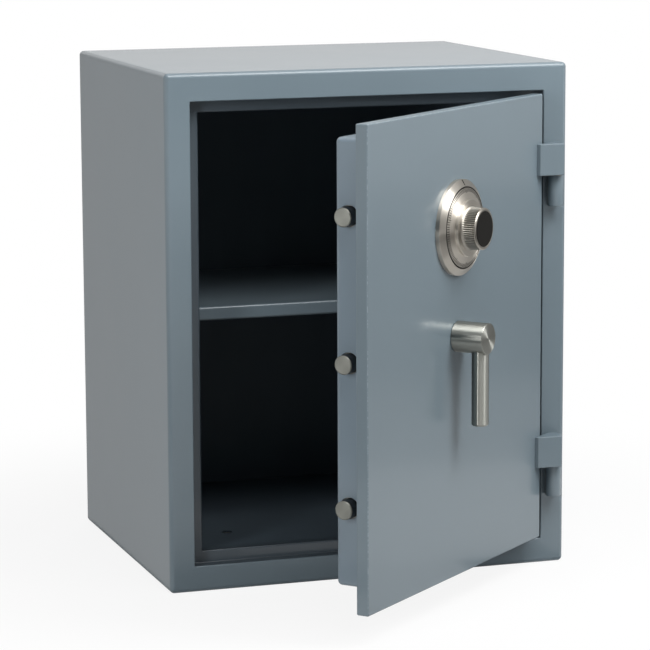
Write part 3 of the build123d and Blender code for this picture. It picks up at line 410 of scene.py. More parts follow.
def wornEdgesAndHighlight(tree, place, colourIn, edges):
    # bare spots within a narrow band along each edge, which also paint the edge's highlight
    split = addNode(tree, "ShaderNodeSeparateXYZ", {"Vector": place})
    spots = addNode(tree, "ShaderNodeTexNoise", {
        "Vector": place, "Scale": perMetre(enamel["wornSpot"]), "Detail": 2,
    })
    chips = addNode(tree, "ShaderNodeMapRange", {
        "Value": spots.outputs["Fac"], "From Min": enamel["wornFrom"], "From Max": enamel["wornTo"],
    })
    near = []
    for first, second in edges:
        bands = []
        for axis, value in (first, second):
            off = addNode(tree, "ShaderNodeMath", {0: split.outputs[axis], 1: value}, operation="SUBTRACT")
            size = addNode(tree, "ShaderNodeMath", {0: off.outputs[0]}, operation="ABSOLUTE")
            bands.append(size.outputs[0])
        reach = addNode(tree, "ShaderNodeMath", {0: bands[0], 1: bands[1]}, operation="MAXIMUM")
        near.append(reach.outputs[0])
    nearest = near[0]
    for other in near[1:]:
        nearest = addNode(tree, "ShaderNodeMath", {0: nearest, 1: other}, operation="MINIMUM").outputs[0]
    band = addNode(tree, "ShaderNodeMapRange", {
        "Value": nearest, "From Max": enamel["wornBand"] / 1000, "To Min": 1, "To Max": 0,
    })
    wear = addNode(tree, "ShaderNodeMath", {0: band.outputs[0], 1: chips.outputs[0]}, operation="MULTIPLY")
    return addNode(tree, "ShaderNodeMix", {
        "Factor": wear.outputs[0], "A": colourIn, "B": linear(enamel["wornAndHighlightColour"]),
    }, data_type="RGBA").outputs["Result"]


# Stoved primer, dipped and baked on the lining. The eye sees a dull blue-black with faint runs; the dark tone
# is partly the primer's own and partly painted shade of the deep cavity.
primer = {
    "colour": "#3e4850",
    "streakColour": "#47525a",
    "runSize": 40,  # mm between runs
    "runStretch": 0.18,  # runs are drawn out down the wall
    "roughness": 0.55,
}


def stovedPrimer(name):
    material, tree = startMaterial(name)
    place = addNode(tree, "ShaderNodeTexCoord").outputs["Object"]
    drawn = addNode(tree, "ShaderNodeMapping", {"Vector": place, "Scale": (1, 1, primer["runStretch"])})
    runs = addNode(tree, "ShaderNodeTexNoise", {
        "Vector": drawn.outputs["Vector"], "Scale": perMetre(primer["runSize"]), "Detail": 4,
    })
    tint = addNode(tree, "ShaderNodeMix", {
        "Factor": runs.outputs["Fac"], "A": linear(primer["colour"]), "B": linear(primer["streakColour"]),
    }, data_type="RGBA")
    grain = addNode(tree, "ShaderNodeTexNoise", {
        "Vector": place, "Scale": perMetre(enamel["peelSize"]), "Detail": 2,
    })
    bump = addNode(tree, "ShaderNodeBump", {
        "Height": grain.outputs["Fac"], "Distance": enamel["peelDepth"], "Strength": 0.4,
    })
    closeMaterial(tree, {
        "Base Color": tint.outputs["Result"],
        "Roughness": primer["roughness"],
        "Normal": bump.outputs["Normal"],
    })
    return material


# Stainless steel turned on a lathe and finished with a fine abrasive.
# The eye sees rings too fine to count, which draw each highlight out across them.
turned = {
    "ringPitch": 0.7,  # mm, drawn coarser than life so that it shows
    "ringDepth": 0.000004,
    "ringContrast": 0.12,
    "ringGloss": 0.02,  # how far roughness swings between rings
    "patternFrom": 0.3,  # part of the noise's range in use
    "patternTo": 0.7,
    "wander": 0.01,  # how far a ring strays from a true circle
}


def turnedSteel(name, colour, roughness, anisotropy, rings):
    # rings: share of the full ring depth and contrast
    material, tree = startMaterial(name)
    place = addNode(tree, "ShaderNodeTexCoord").outputs["Object"]
    split = addNode(tree, "ShaderNodeSeparateXYZ", {"Vector": place})
    flat = addNode(tree, "ShaderNodeCombineXYZ", {"X": split.outputs["X"], "Y": split.outputs["Y"]})
    radius = addNode(tree, "ShaderNodeVectorMath", {0: flat.outputs[0]}, operation="LENGTH")
    ringPlace = addNode(tree, "ShaderNodeCombineXYZ", {"X": radius.outputs["Value"], "Y": split.outputs["Z"]})
    mixed = addNode(tree, "ShaderNodeVectorMath", {
        0: flat.outputs[0], 1: [turned["wander"]] * 3, 2: ringPlace.outputs[0],
    }, operation="MULTIPLY_ADD")
    circles = addNode(tree, "ShaderNodeTexNoise", {
        "Vector": mixed.outputs[0], "Scale": perMetre(turned["ringPitch"]), "Detail": 2,
    })
    tone = addNode(tree, "ShaderNodeMapRange", {
        "Value": circles.outputs["Fac"], "From Min": turned["patternFrom"], "From Max": turned["patternTo"],
    })
    base = linear(colour)
    dark = darker(base, 1 - turned["ringContrast"] * rings)
    tint = addNode(tree, "ShaderNodeMix", {"Factor": tone.outputs[0], "A": dark, "B": base}, data_type="RGBA")
    bump = addNode(tree, "ShaderNodeBump", {
        "Height": circles.outputs["Fac"], "Distance": turned["ringDepth"] * rings, "Strength": 0.5,
    })
    gloss = addNode(tree, "ShaderNodeMapRange", {
        "Value": tone.outputs[0],
        "To Min": roughness - turned["ringGloss"] * rings,
        "To Max": roughness + turned["ringGloss"] * rings,
    })
    tangent = addNode(tree, "ShaderNodeTangent", direction_type="RADIAL", axis="Z")
    closeMaterial(tree, {
        "Base Color": tint.outputs["Result"],
        "Metallic": 1,
        "Roughness": gloss.outputs[0],
        "Anisotropic": anisotropy,
        "Anisotropic Rotation": 0.25,  # the highlight runs across the rings
        "Tangent": tangent.outputs[0],
        "Normal": bump.outputs["Normal"],
    })
    return material


# Machined or plated metal on the working pieces. The eye sees a satin face with straight tool marks.
toolMarks = {
    "stretch": 0.05,  # marks are drawn out along Z
    "dark": 0.8,  # share of the colour left in a mark
    "detail": 4,
    "depth": 0.00001,
    "strength": 0.5,
    "roughnessSwing": (-0.06, 0.08),
}


def machinedMetal(name, colour, roughness, markSize):
    # markSize: mm across the marks
    material, tree = startMaterial(name)
    place = addNode(tree, "ShaderNodeTexCoord").outputs["Object"]
    drawn = addNode(tree, "ShaderNodeMapping", {"Vector": place, "Scale": (1, 1, toolMarks["stretch"])})
    base = linear(colour)
    dark = darker(base, toolMarks["dark"])
    tint, normal, marks = grainOver(tree, drawn.outputs["Vector"], markSize, dark, base, toolMarks)
    gloss = addNode(tree, "ShaderNodeMapRange", {
        "Value": marks,
        "To Min": roughness + toolMarks["roughnessSwing"][0],
        "To Max": roughness + toolMarks["roughnessSwing"][1],
    })
    closeMaterial(tree, {
        "Base Color": tint,
        "Metallic": 1,
        "Roughness": gloss.outputs[0],
        "Normal": normal,
    })
    return material


# ABS, moulded with a finely spark-eroded face. The eye sees a flat near-black with a dull sheen.
moulded = {
    "dark": 0.85,  # share of the colour left in the grain's hollows
    "detail": 3,
    "depth": 0.00002,
    "strength": 0.5,
    "ior": 1.53,
}


def mouldedPlastic(name, colour, roughness, grainSize, shine):
    # grainSize: mm
    material, tree = startMaterial(name)
    place = addNode(tree, "ShaderNodeTexCoord").outputs["Object"]
    base = linear(colour)
    dark = darker(base, moulded["dark"])
    tint, normal = grainOver(tree, place, grainSize, dark, base, moulded)[:2]
    closeMaterial(tree, {
        "Base Color": tint,
        "Roughness": roughness,
        "IOR": moulded["ior"],
        "Specular IOR Level": shine,
        "Normal": normal,
    })
    return material


# Lightweight concrete cast between the steel walls. The eye would see pale grey with sand and pores.
fill = {
    "colour": "#8f8c83",
    "sandColour": "#b4b0a5",
    "sandSize": 4,  # mm
    "detail": 6,
    "depth": 0.0004,
    "strength": 0.6,
    "roughness": 0.9,
}


def castMineral(name):
    material, tree = startMaterial(name)
    place = addNode(tree, "ShaderNodeTexCoord").outputs["Object"]
    dark, light = linear(fill["colour"]), linear(fill["sandColour"])
    tint, normal = grainOver(tree, place, fill["sandSize"], dark, light, fill)[:2]
    closeMaterial(tree, {"Base Color": tint, "Roughness": fill["roughness"], "Normal": normal})
    return material


# One finish differs a little from piece to piece, as each was matched on its own: these lighter and darker
# copies are painted light and shade
edgeX, frontY, topZ = plateLow.x, plateLow.y, plateHigh.z
cabinetEnamel = sprayedEnamel("blue grey enamel on the cabinet")
doorEnamel = sprayedEnamel(
    "blue grey enamel on the door", edges=[((0, edgeX), (1, frontY)), ((1, frontY), (2, topZ))]
)
# lighter than the cabinet's enamel, as painted light
housingEnamel = sprayedEnamel("blue grey enamel on the bolt housing", "#6f7e89", "#74828c")
# the cabinet's enamel, darker as painted shade in the rebate
rebateShadeEnamel = sprayedEnamel("blue grey enamel darkened as painted shade in the rebate", "#434c53", "#475057")
# darker than the cabinet's enamel, as painted shade in the cavity
shelfEnamel = sprayedEnamel("blue grey enamel on the shelf", "#5a666d", "#5f6b72")
hingeEnamel = sprayedEnamel("blue grey enamel on the hinges")
# the cavity's lining, darkened partly as painted shade
liningPrimerAndShade = stovedPrimer("stoved primer with painted shade in the cavity")
ringSteel = turnedSteel("satin turned steel on the dial ring", "#bdb8af", 0.36, 0.95, 0.5)
dialSteel = turnedSteel("satin turned steel on the dial", "#cec8be", 0.36, 0.95, 0.5)
knobSteel = turnedSteel("satin turned steel on the knob", "#a09c94", 0.3, 0.4, 0.3)
grooveShadeSteel = machinedMetal("steel darkened as painted shade in the knurled grooves", "#66625b", 0.5, 0.6)
handleSteel = turnedSteel("satin turned steel on the lever handle", "#999a94", 0.35, 0.97, 0.05)
boltSteel = turnedSteel("satin turned steel on the locking bolts", "#7f807a", 0.42, 0.2, 0.2)
boltSideShadeSteel = machinedMetal("steel darkened as painted shade on the sides of the bolts", "#45474a", 0.38, 0.8)
platedSteel = machinedMetal("zinc plated steel", "#a9a9a4", 0.38, 1.2)
yellowBrass = machinedMetal("machined brass", "#c8a765", 0.32, 0.8)
castZinc = machinedMetal("die cast zinc", "#8e8e8b", 0.5, 3)
capPlastic = mouldedPlastic("near black ABS cap", "#181715", 0.6, 0.6, 0.12)
# black for the engraved marks, and as painted shade on the dial's gap walls
markPaintAndGapShade = mouldedPlastic("black paint in the engraved marks", "#141312", 0.7, 0.6, 0.1)
mineralFill = castMineral("cast barrier fill")
print("materials made:", len(bpy.data.materials))


# Every CAD piece gets the finish of its slot, also where a finer piece stands for it

slotMaterials = {
    "cabinet_paint": cabinetEnamel,
    "hinge_paint": hingeEnamel,
    "lining_paint": cabinetEnamel,
    "barrier_fill": mineralFill,
    "plated_steel": platedSteel,
    "turned_steel": boltSteel,
    "dark_cap": capPlastic,
    "zinc_casting": castZinc,
    "brass": yellowBrass,
}
nodeMaterials = {
    "inner_liner": liningPrimerAndShade,
    "shelf": shelfEnamel,
    "bolt_housing": housingEnamel,
    "back_cover": housingEnamel,
    "dead_bar": platedSteel,
}


def paintNodes(crease=28):
    slots = {part["node"]: part["material_slot"] for part in frame["record"]["subparts"]}
    for name, node in frame["nodes"].items():
        node.data.materials.clear()
        node.data.materials.append(nodeMaterials.get(name) or slotMaterials[slots[name]])
        node.data.shade_smooth()
        node.data.set_sharp_from_angle(angle=math.radians(crease))


paintNodes()
print("frame painted")


# Cabinet body: one folded and welded sheet steel shell with rounded edges

frameWall = 0.006  # the frame's outer wall, which the shell's front laps
cutPast = 0.002  # how far a cutter runs past the sheet
shell = {
    "edgeRadius": 0.006,
    "edgeSteps": 10,
    "sheet": 0.003,
    "openingRadius": 0.0014,
    "backLip": 0.022,
    "cornerRadius": 0.0012,
    "lipSteps": 4,
}


def openingGap():
    # the opening inside the frame's outer wall
    low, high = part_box("door_frame")
    return inset((low.x, low.z), (high.x, high.z), frameWall)


def makeShell():
    low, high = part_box("outer_shell")
    sheet, curve, steps = shell["sheet"], shell["edgeRadius"], shell["edgeSteps"]
    lip, small = shell["openingRadius"], shell["cornerRadius"]
    loops = []

    def add(box, amount, y, radius):
        loops.append(insetLoop(box, amount, y, max(radius, small), steps))

    outer, gap = ((low.x, low.z), (high.x, high.z)), openingGap()
    add(gap, 0, low.y + sheet, small)
    add(gap, 0, low.y + lip, small)
    for across, along in arc((lip, lip), lip, 180, 270, shell["lipSteps"])[1:]:
        add(gap, -across, low.y + along, small + across)
    for across, along in arc((curve, curve), curve, 270, 180, steps):
        add(outer, across, low.y + along, curve - across)
    for across, along in arc((curve, curve), curve, 180, 270, steps):
        add(outer, across, high.y - along, curve - across)
    add(outer, shell["backLip"], high.y, small)
    add(outer, shell["backLip"], high.y - sheet, small)
    inner = curve - sheet
    for across, along in arc((curve, curve), inner, 270, 180, steps):
        add(outer, across, high.y - along, curve - across)
    for across, along in arc((curve, curve), inner, 180, 270, steps):
        add(outer, across, low.y + along, curve - across)
    vertices, faces = loftLoops(loops, closed=True)
    piece = makePiece(
        "cabinetShell", vertices, faces, "cabinet", cabinetEnamel, replaces=["outer_shell"]
    )
    dims = next(mount for mount in frame["record"]["mounts"] if mount["name"] == "anchor_holes")["dims"]
    holes = []
    for sideX in (-0.5, 0.5):
        for sideY in (-0.5, 0.5):
            x = sideX * dims["spacing_x_mm"] / 1000
            y = sideY * dims["spacing_y_mm"] / 1000
            start, end = Vector((x, y, -cutPast)), Vector((x, y, sheet + cutPast))
            holes.append((start, end, dims["hole_r_mm"] / 1000))
    cutHoles(piece, holes)
    flattenNormals(piece)


# Door frame: a rebate that takes the door plate, then a ledge that the bolts lock behind

doorway = {
    "rebateDepth": 0.019,
    "ledgeWidth": 0.015,
    "ledgeRadius": 0.002,
    "ledgeSteps": 5,
    "fillet": 0.0008,  # where the rebate's wall meets the ledge
    "filletSteps": 3,
    "cornerRadius": 0.0012,
    "cornerSteps": 6,
}


def makeDoorFrame():
    low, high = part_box("door_frame")
    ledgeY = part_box("outer_shell")[0].y + doorway["rebateDepth"]
    ledge, curve, small = doorway["ledgeWidth"], doorway["ledgeRadius"], doorway["cornerRadius"]
    fillet = doorway["fillet"]
    loops = []

    def add(amount, y):
        loops.append(insetLoop(openingGap(), amount, y, small, doorway["cornerSteps"]))

    add(-frameWall, low.y)
    add(0, low.y)
    add(0, ledgeY - fillet)
    for across, along in arc((fillet, -fillet), fillet, 180, 90, doorway["filletSteps"])[1:]:
        add(across, ledgeY + along)
    for across, along in arc((ledge - curve, curve), curve, 270, 360, doorway["ledgeSteps"]):
        add(across, ledgeY + along)
    add(ledge, high.y)
    add(-frameWall, high.y)
    vertices, faces = loftLoops(loops, closed=True)
    piece = makePiece(
        "doorFrame", vertices, faces, "cabinet", rebateShadeEnamel, replaces=["door_frame"]
    )
    flattenNormals(piece)


makeShell()
makeDoorFrame()
print("cabinet made")


# Door plate and the housing behind it

doorForm = {
    "plateRadius": 0.002,
    "plateSteps": 5,
    "housingRadius": 0.006,
    "housingSheet": 0.002,
    "housingSteps": 8,
    "housingCorner": 0.0006,  # smallest radius left in a corner
    "coverMargin": 0.034,
    "coverCorner": 0.002,
    "boltHoleGap": 0.0015,
}


def makeDoorPlate():
    form = roundedBox(plateLow, plateHigh, doorForm["plateRadius"], doorForm["plateSteps"])
    piece = dressPiece(
        "doorPlate", meshFrom("doorPlate", form), "door", doorEnamel, doorMatrix,
        ["door_plate"], crease=60,
    )
    flattenNormals(piece)


def makeHousing():
    low, high = shutBox("bolt_housing")
    curve, sheet, margin = doorForm["housingRadius"], doorForm["housingSheet"], doorForm["coverMargin"]
    steps = doorForm["housingSteps"]
    loops = []

    def add(amount, y, radius):
        box = (low.x, low.z), (high.x, high.z)
        loops.append(insetLoop(box, amount, y, max(radius, doorForm["housingCorner"]), steps))

    add(0, low.y, curve)
    for across, along in arc((curve, curve), curve, 180, 270, steps):
        add(across, high.y - along, curve - across)
    add(margin, high.y, doorForm["coverCorner"])
    add(margin, high.y - sheet, doorForm["coverCorner"])
    for across, along in arc((curve, curve), curve - sheet, 270, 180, steps):
        add(across, high.y - along, curve - across)
    add(sheet, low.y, curve - sheet)
    vertices, faces = loftLoops(loops, closed=True)
    piece = makePiece(
        "boltHousing", vertices, faces, "door", housingEnamel, doorMatrix, ["bolt_housing"]
    )
    holes = []
    for name in bolt["names"]:
        boltLow, boltHigh = shutBox("locking_bolt_" + name)
        radius = (boltHigh.z - boltLow.z) / 2 + doorForm["boltHoleGap"]
        middle = (boltLow + boltHigh) / 2
        start = Vector((low.x - cutPast, middle.y, middle.z))
        holes.append((start, start + Vector((sheet * 2 + cutPast, 0, 0)), radius))
    cutHoles(piece, holes)
    flattenNormals(piece)


bolt = {
    "names": ("top", "middle", "bottom"),
    "edge": [(0.0014, 0), (0.0012, -0.00012), (0.0001, -0.0011), (0, -0.0015)],  # chamfer, corners broken
    "faceDepth": 0.0012,  # behind this the steel is darkened as painted shade
    "tail": 0.013,  # the thinner end in the nut, which nobody sees
    "pinhole": 0.0004,
    "segments": 96,
}


def makeBolts():
    pinhole = bolt["pinhole"]
    for name in bolt["names"]:
        low, high = shutBox("locking_bolt_" + name)
        radius = (high.z - low.z) / 2
        middle = (low + high) / 2
        length = high.x - low.x - bolt["tail"]
        profile = [(pinhole, 0)] + turnedEdge(radius, 0, bolt["edge"])
        profile += [(radius, -length), (pinhole, -length)]
        vertices, faces = lathe(profile, bolt["segments"])
        turn = Vector((-1, 0, 0)).to_track_quat("Z", "Y").to_matrix().to_4x4()
        place = Matrix.Translation((low.x, middle.y, middle.z)) @ turn
        piece = makePiece(
            "lockingBolt" + name.capitalize(), vertices, faces, "boltwork", boltSteel,
            doorMatrix @ place, ["locking_bolt_" + name], crease=20,
        )
        # the bolt's side gets a darker steel as painted shade
        piece.data.materials.append(boltSideShadeSteel)
        for face in piece.data.polygons:
            if face.center.z < -bolt["faceDepth"]:
                face.material_index = 1


# Hinges: a leafed knuckle on the door turns on a barrel that is welded to the frame

hinge = {
    "frameGap": 0.0008,
    "face": 0.018,  # from the pin to the leaf's flat face
    "facePastPin": 0.004,
    "toe": 0.005,
    "slope": 41.75,  # degrees, which sets the leaf's face parallel to the frame at rest
    "edge": 0.0009,
    "barrelEdge": 0.0014,
    "barrelTopEdge": 0.0003,
    "saddle": 0.0075,  # half the width of the web between barrel and frame
    "noseSteps": 24,
    "barrelSteps": 40,
}


def hingeBlockOutline(front):
    # anticlockwise, seen from above with the door shut: toe, flat leaf face, nose round the pin, back
    reach = front - hingePlace.y - hinge["frameGap"]
    slope = math.radians(hinge["slope"])
    along = Vector((math.cos(slope), -math.sin(slope)))
    out = Vector((-math.sin(slope), -math.cos(slope)))
    crest = along * hinge["facePastPin"] + out * hinge["face"]
    low = front - hinge["toe"] - hingePlace.y
    toe = out * hinge["face"] + along * (low - out.y * hinge["face"]) / along.y
    start = math.degrees(math.atan2(crest.y, crest.x) + math.acos(reach / crest.length))
    outline = [(toe.x, front - hingePlace.y), (toe.x, low), tuple(crest)]
    outline += arc((0, 0), reach, start, 90, hinge["noseSteps"])
    outline += [(plateHigh.x - hingePlace.x, reach), (plateHigh.x - hingePlace.x, front - hingePlace.y)]
    return [(hingePlace.x + x, hingePlace.y + y) for x, y in outline]


def barrelOutline(radius, front):
    start = math.degrees(math.asin(hinge["saddle"] / radius))
    outline = arc((hingePlace.x, hingePlace.y), radius, 90 + start, 450 - start, hinge["barrelSteps"])
    return outline + [(hingePlace.x + hinge["saddle"], front), (hingePlace.x - hinge["saddle"], front)]


def makeHinges():
    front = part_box("outer_shell")[0].y
    edge = hinge["edge"]
    for name in ("top", "bottom"):
        low, high = shutBox("hinge_block_" + name)
        vertices, faces = extrudeOutline(hingeBlockOutline(front), low.z, high.z, edge, edge)
        piece = makePiece(
            "hingeBlock" + name.capitalize(), vertices, faces, "door", hingeEnamel, doorMatrix,
            ["hinge_block_" + name], crease=40,
        )
        softenUprights(piece, edge)
        low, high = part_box("hinge_barrel_" + name)
        radius = (high.x - low.x) / 2
        outline = barrelOutline(radius, front)
        vertices, faces = extrudeOutline(outline, low.z, high.z, hinge["barrelEdge"], hinge["barrelTopEdge"])
        makePiece(
            "hingeBarrel" + name.capitalize(), vertices, faces, "cabinet", hingeEnamel, None,
            ["hinge_barrel_" + name], crease=40,
        )


makeDoorPlate()
makeHousing()
makeBolts()
makeHinges()
print("door made")


# Dial and lever: turned pieces whose local Z points out of the door

def outOfDoor(place):
    return doorMatrix @ Matrix.Translation(place) @ Matrix.Rotation(math.radians(90), 4, "X")


dialMatrix = outOfDoor(dialPlace)
dial = {
    "ring": [(0.0493, 0), (0.0581, 0), (0.0583, 0.0002), (0.0583, 0.0048), (0.058, 0.0053), (0.0508, 0.0098),
             (0.0504, 0.01), (0.0497, 0.01), (0.0493, 0.0096)],
    "disc": [(0.004, 0.001), (0.048, 0.001), (0.0483, 0.0013), (0.0483, 0.0098), (0.048, 0.0103),
             (0.0347, 0.0139), (0.0345, 0.0141), (0.0345, 0.0171), (0.0341, 0.0175), (0.004, 0.0175)],
    "gapWalls": {"dialRing": (0.0498, 0.0005), "dialDisc": (0.0478, 0.0009)},  # radius and slack
    "wallNormal": 0.9,  # faces that look more along the axis are no walls
    "knob": [(0.004, 0.0175), (0.0269, 0.0175), (0.0272, 0.0178), (0.0272, 0.0181), (0.027, 0.0183)],
    "knobSide": [(0.0266, 0.0185), (0.0261, 0.0205), (0.0257, 0.0235), (0.0255, 0.0266), (0.0254, 0.0292),
                 (0.0254, 0.0318), (0.0255, 0.034), (0.0255, 0.0344)],
    "knobRim": [(0.0255, 0.0346), (0.0253, 0.0349), (0.0236, 0.0359), (0.0231, 0.036), (0.0217, 0.036),
                (0.0215, 0.0358), (0.0215, 0.0345), (0.004, 0.0345)],
    "cap": [(0.0002, 0.0345), (0.0215, 0.0345), (0.0215, 0.0361), (0.0211, 0.0365), (0.0002, 0.0365)],
    "ridges": 60,
    "ridgeSteps": 8,
    "ridgeDepth": 0.0009,
    "ridgeShape": 1.5,  # above 1 the crests are narrower than the grooves
    "grooveShadeShare": 0.2,  # of a pitch, to each side of a groove's middle, that is darkened as painted shade
    "graduations": 100,
    "longEvery": 10,
    "markLength": 0.0042,
    "longMark": 0.0056,
    "markWidth": 0.0013,  # drawn broader than life so that it shows
    "markTaper": 0.8,
    "markInset": 0.0004,  # clear of the cone's edges
    "markLift": 0.00006,
    "indexWidth": (0.0022, 0.0016),
    "segments": 192,
    "capSegments": 128,
}


def paintGapShade(piece, wallRadius, slack):
    # the two walls that face each other across the dial's running gap get black paint as painted shade
    piece.data.materials.append(markPaintAndGapShade)
    for face in piece.data.polygons:
        off = abs(math.hypot(face.center.x, face.center.y) - wallRadius)
        if off < slack and abs(face.normal.z) < dial["wallNormal"]:
            face.material_index = 1


def makeRingAndDisc():
    for name, node, profile, material, body in (
        ("dialRing", "dial_ring", dial["ring"], ringSteel, "door"),
        ("dialDisc", "dial_disc", dial["disc"], dialSteel, "dial"),
    ):
        vertices, faces = lathe(profile + profile[:1], dial["segments"])
        piece = makePiece(
            name, vertices, faces, body, material, dialMatrix, [node], crease=20
        )
        paintGapShade(piece, *dial["gapWalls"][name])


def makeKnob():
    first = len(dial["knob"])
    last = first + len(dial["knobSide"]) - 1
    profile = dial["knob"] + dial["knobSide"] + dial["knobRim"]

    def ridge(index, angle):
        if not first <= index <= last:
            return 0
        wave = 0.5 + 0.5 * math.cos(angle * dial["ridges"])
        fade = min(1, index - first, last - index)
        return dial["ridgeDepth"] * (1 - wave ** dial["ridgeShape"]) * fade

    vertices, faces = lathe(profile + profile[:1], dial["ridges"] * dial["ridgeSteps"], ridge)
    knob = makePiece(
        "dialKnob", vertices, faces, "dial", knobSteel, dialMatrix, ["dial_knob"], crease=50
    )
    # the middle of each groove gets a darker steel as painted shade
    knob.data.materials.append(grooveShadeSteel)
    bottom, top = profile[first + 1][1], profile[last - 1][1]
    for face in knob.data.polygons:
        if bottom < face.center.z < top:
            turns = math.atan2(face.center.y, face.center.x) * dial["ridges"] / (2 * math.pi)
            if abs(turns % 1 - 0.5) < dial["grooveShadeShare"]:
                face.material_index = 1
    vertices, faces = lathe(dial["cap"], dial["capSegments"])
    makePiece(
        "dialCap", vertices, faces, "dial", capPlastic, dialMatrix, ["dial_cap"], crease=30
    )


def coneBar(angle, rOut, rIn, width, lift, slope):
    # a thin bar laid on a cone, from rOut to rIn; slope(r) gives the cone's height there
    side = Vector((-math.sin(angle), math.cos(angle), 0))
    out = Vector((math.cos(angle), math.sin(angle), 0))
    points = []
    for radius, half in ((rOut, width[0] / 2), (rIn, width[1] / 2)):
        for sign in (-1, 1):
            for height in (-lift, lift):
                points.append(out * radius + side * half * sign + Vector((0, 0, slope(radius) + height)))
    faces = [(0, 1, 3, 2), (4, 6, 7, 5), (0, 4, 5, 1), (2, 3, 7, 6), (1, 5, 7, 3), (0, 2, 6, 4)]
    return points, faces


def onCone(start, end):
    # the height at a radius on the line between two (radius, height) points
    return lambda radius: start[1] + (end[1] - start[1]) * (radius - start[0]) / (end[0] - start[0])


def makeMarks():
    outer, inner = dial["disc"][4:6]
    clear, width, lift = dial["markInset"], dial["markWidth"], dial["markLift"]
    start = outer[0] - clear
    vertices, faces = [], []
    for mark in range(dial["graduations"]):
        length = dial["longMark"] if mark % dial["longEvery"] == 0 else dial["markLength"]
        angle = math.pi / 2 - 2 * math.pi * mark / dial["graduations"]
        points, sides = coneBar(
            angle, start, start - length, (width, width * dial["markTaper"]), lift, onCone(outer, inner)
        )
        faces += [tuple(len(vertices) + i for i in side) for side in sides]
        vertices += points
    makePiece("dialGraduations", vertices, faces, "dial", markPaintAndGapShade, dialMatrix)
    outer, inner = dial["ring"][4:6]
    points, sides = coneBar(
        math.pi / 2, outer[0] - clear, inner[0] + clear, dial["indexWidth"], lift, onCone(inner, outer)
    )
    makePiece("openingIndex", points, sides, "door", markPaintAndGapShade, dialMatrix)


lever = {
    "foot": [(0.0004, 0), (0, 0.0004)],
    "edge": 0.001,
    "edgeSteps": 4,
    "end": [(0.0015, 0), (0.0002, -0.0015), (0, -0.0019)],
    "start": 0.004,  # from the handle's axis, inside the boss
    "pinhole": 0.0003,
    "segments": 128,
}


def makeHandle():
    edge, pinhole, start = lever["edge"], lever["pinhole"], lever["start"]
    low, high = shutBox("handle_boss")
    radius = (high.z - low.z) / 2
    reach = handlePlace.y - low.y
    foot = handlePlace.y - high.y
    profile = [(pinhole, foot)] + turnedEdge(radius, foot, lever["foot"])
    profile += arc((radius - edge, reach - edge), edge, 0, 90, lever["edgeSteps"]) + [(pinhole, reach)]
    vertices, faces = lathe(profile, lever["segments"])
    makePiece(
        "handleBoss", vertices, faces, "handle", handleSteel, outOfDoor(handlePlace),
        ["handle_boss"], crease=25,
    )
    low, high = shutBox("handle_lever")
    radius = (high.x - low.x) / 2
    middle = (low + high) / 2
    length = handlePlace.z - low.z
    profile = [(pinhole, length)] + turnedEdge(radius, length, lever["end"])
    profile += [(radius, start), (pinhole, start)]
    vertices, faces = lathe(profile, lever["segments"])
    down = Matrix.Translation((middle.x, middle.y, handlePlace.z)) @ Matrix.Rotation(math.pi, 4, "X")
    makePiece(
        "handleLever", vertices, faces, "handle", handleSteel, doorMatrix @ down,
        ["handle_lever"], crease=25,
    )


makeRingAndDisc()
makeKnob()
makeMarks()
makeHandle()
print("dial and lever made")


# Camera, floor and light

view = {
    "yaw": -18.427,
    "pitch": 9.328,
    "roll": -0.254,
    "distance": 3.9323,
    "target": (0.01181, 0, 0.29218),
    "focal": 2953.7,  # in pixels of a frame this wide
    "frame": 650,
    "sensor": 36,
    "clip": 100,
}


def makeCamera():
    lens = bpy.data.cameras.new("camera")
    lens.lens = view["focal"] * view["sensor"] / view["frame"]
    lens.sensor_width = view["sensor"]
    lens.clip_end = view["clip"]
    camera = bpy.data.objects.new("camera", lens)
    show(camera)
    yaw, pitch, roll = [math.radians(view[key]) for key in ("yaw", "pitch", "roll")]
    ahead = Vector((-math.sin(yaw) * math.cos(pitch), math.cos(yaw) * math.cos(pitch), -math.sin(pitch)))
    right = Vector((math.cos(yaw), math.sin(yaw), 0))
    up = right.cross(ahead)
    sideways = math.cos(roll) * right + math.sin(roll) * up
    upwards = -math.sin(roll) * right + math.cos(roll) * up
    turn = Matrix((sideways, upwards, -ahead)).transposed().to_4x4()
    camera.matrix_world = Matrix.Translation(Vector(view["target"]) - ahead * view["distance"]) @ turn
    bpy.context.scene.camera = camera


# The floor is white to the camera and in reflections. Near the safe its own lit shade is mixed in: a little
# for the camera, which keeps the shadow, and nearly all in reflections, which gives metal its darker side.
ground = {
    "size": 60,
    "below": 0.0002,  # under the safe
    "shadowStart": 0.3,
    "shadowEnd": 0.95,
    "shadowShare": 0.12,
    "mirrorShare": 0.95,
    "lit": 0.8,  # its tone where it is seen
    "bounce": 0.6,  # and for the light that it throws back
}


def addStage(name, corners, material):
    mesh = bpy.data.meshes.new(name)
    mesh.from_pydata(corners, [], [(0, 1, 2, 3)])
    mesh.materials.append(material)
    piece = bpy.data.objects.new(name, mesh)
    show(piece)
    return piece


def greyOf(value):
    return [value, value, value, 1]


def rayShares(tree):
    # 1 for reflections, and 1 for all that is seen, straight or mirrored
    light = addNode(tree, "ShaderNodeLightPath")
    mirrored = addNode(tree, "ShaderNodeMath", {
        0: light.outputs["Is Glossy Ray"], 1: light.outputs["Is Transmission Ray"],
    }, operation="MAXIMUM").outputs[0]
    seen = addNode(tree, "ShaderNodeMath", {
        0: light.outputs["Is Camera Ray"], 1: mirrored,
    }, operation="MAXIMUM").outputs[0]
    return mirrored, seen


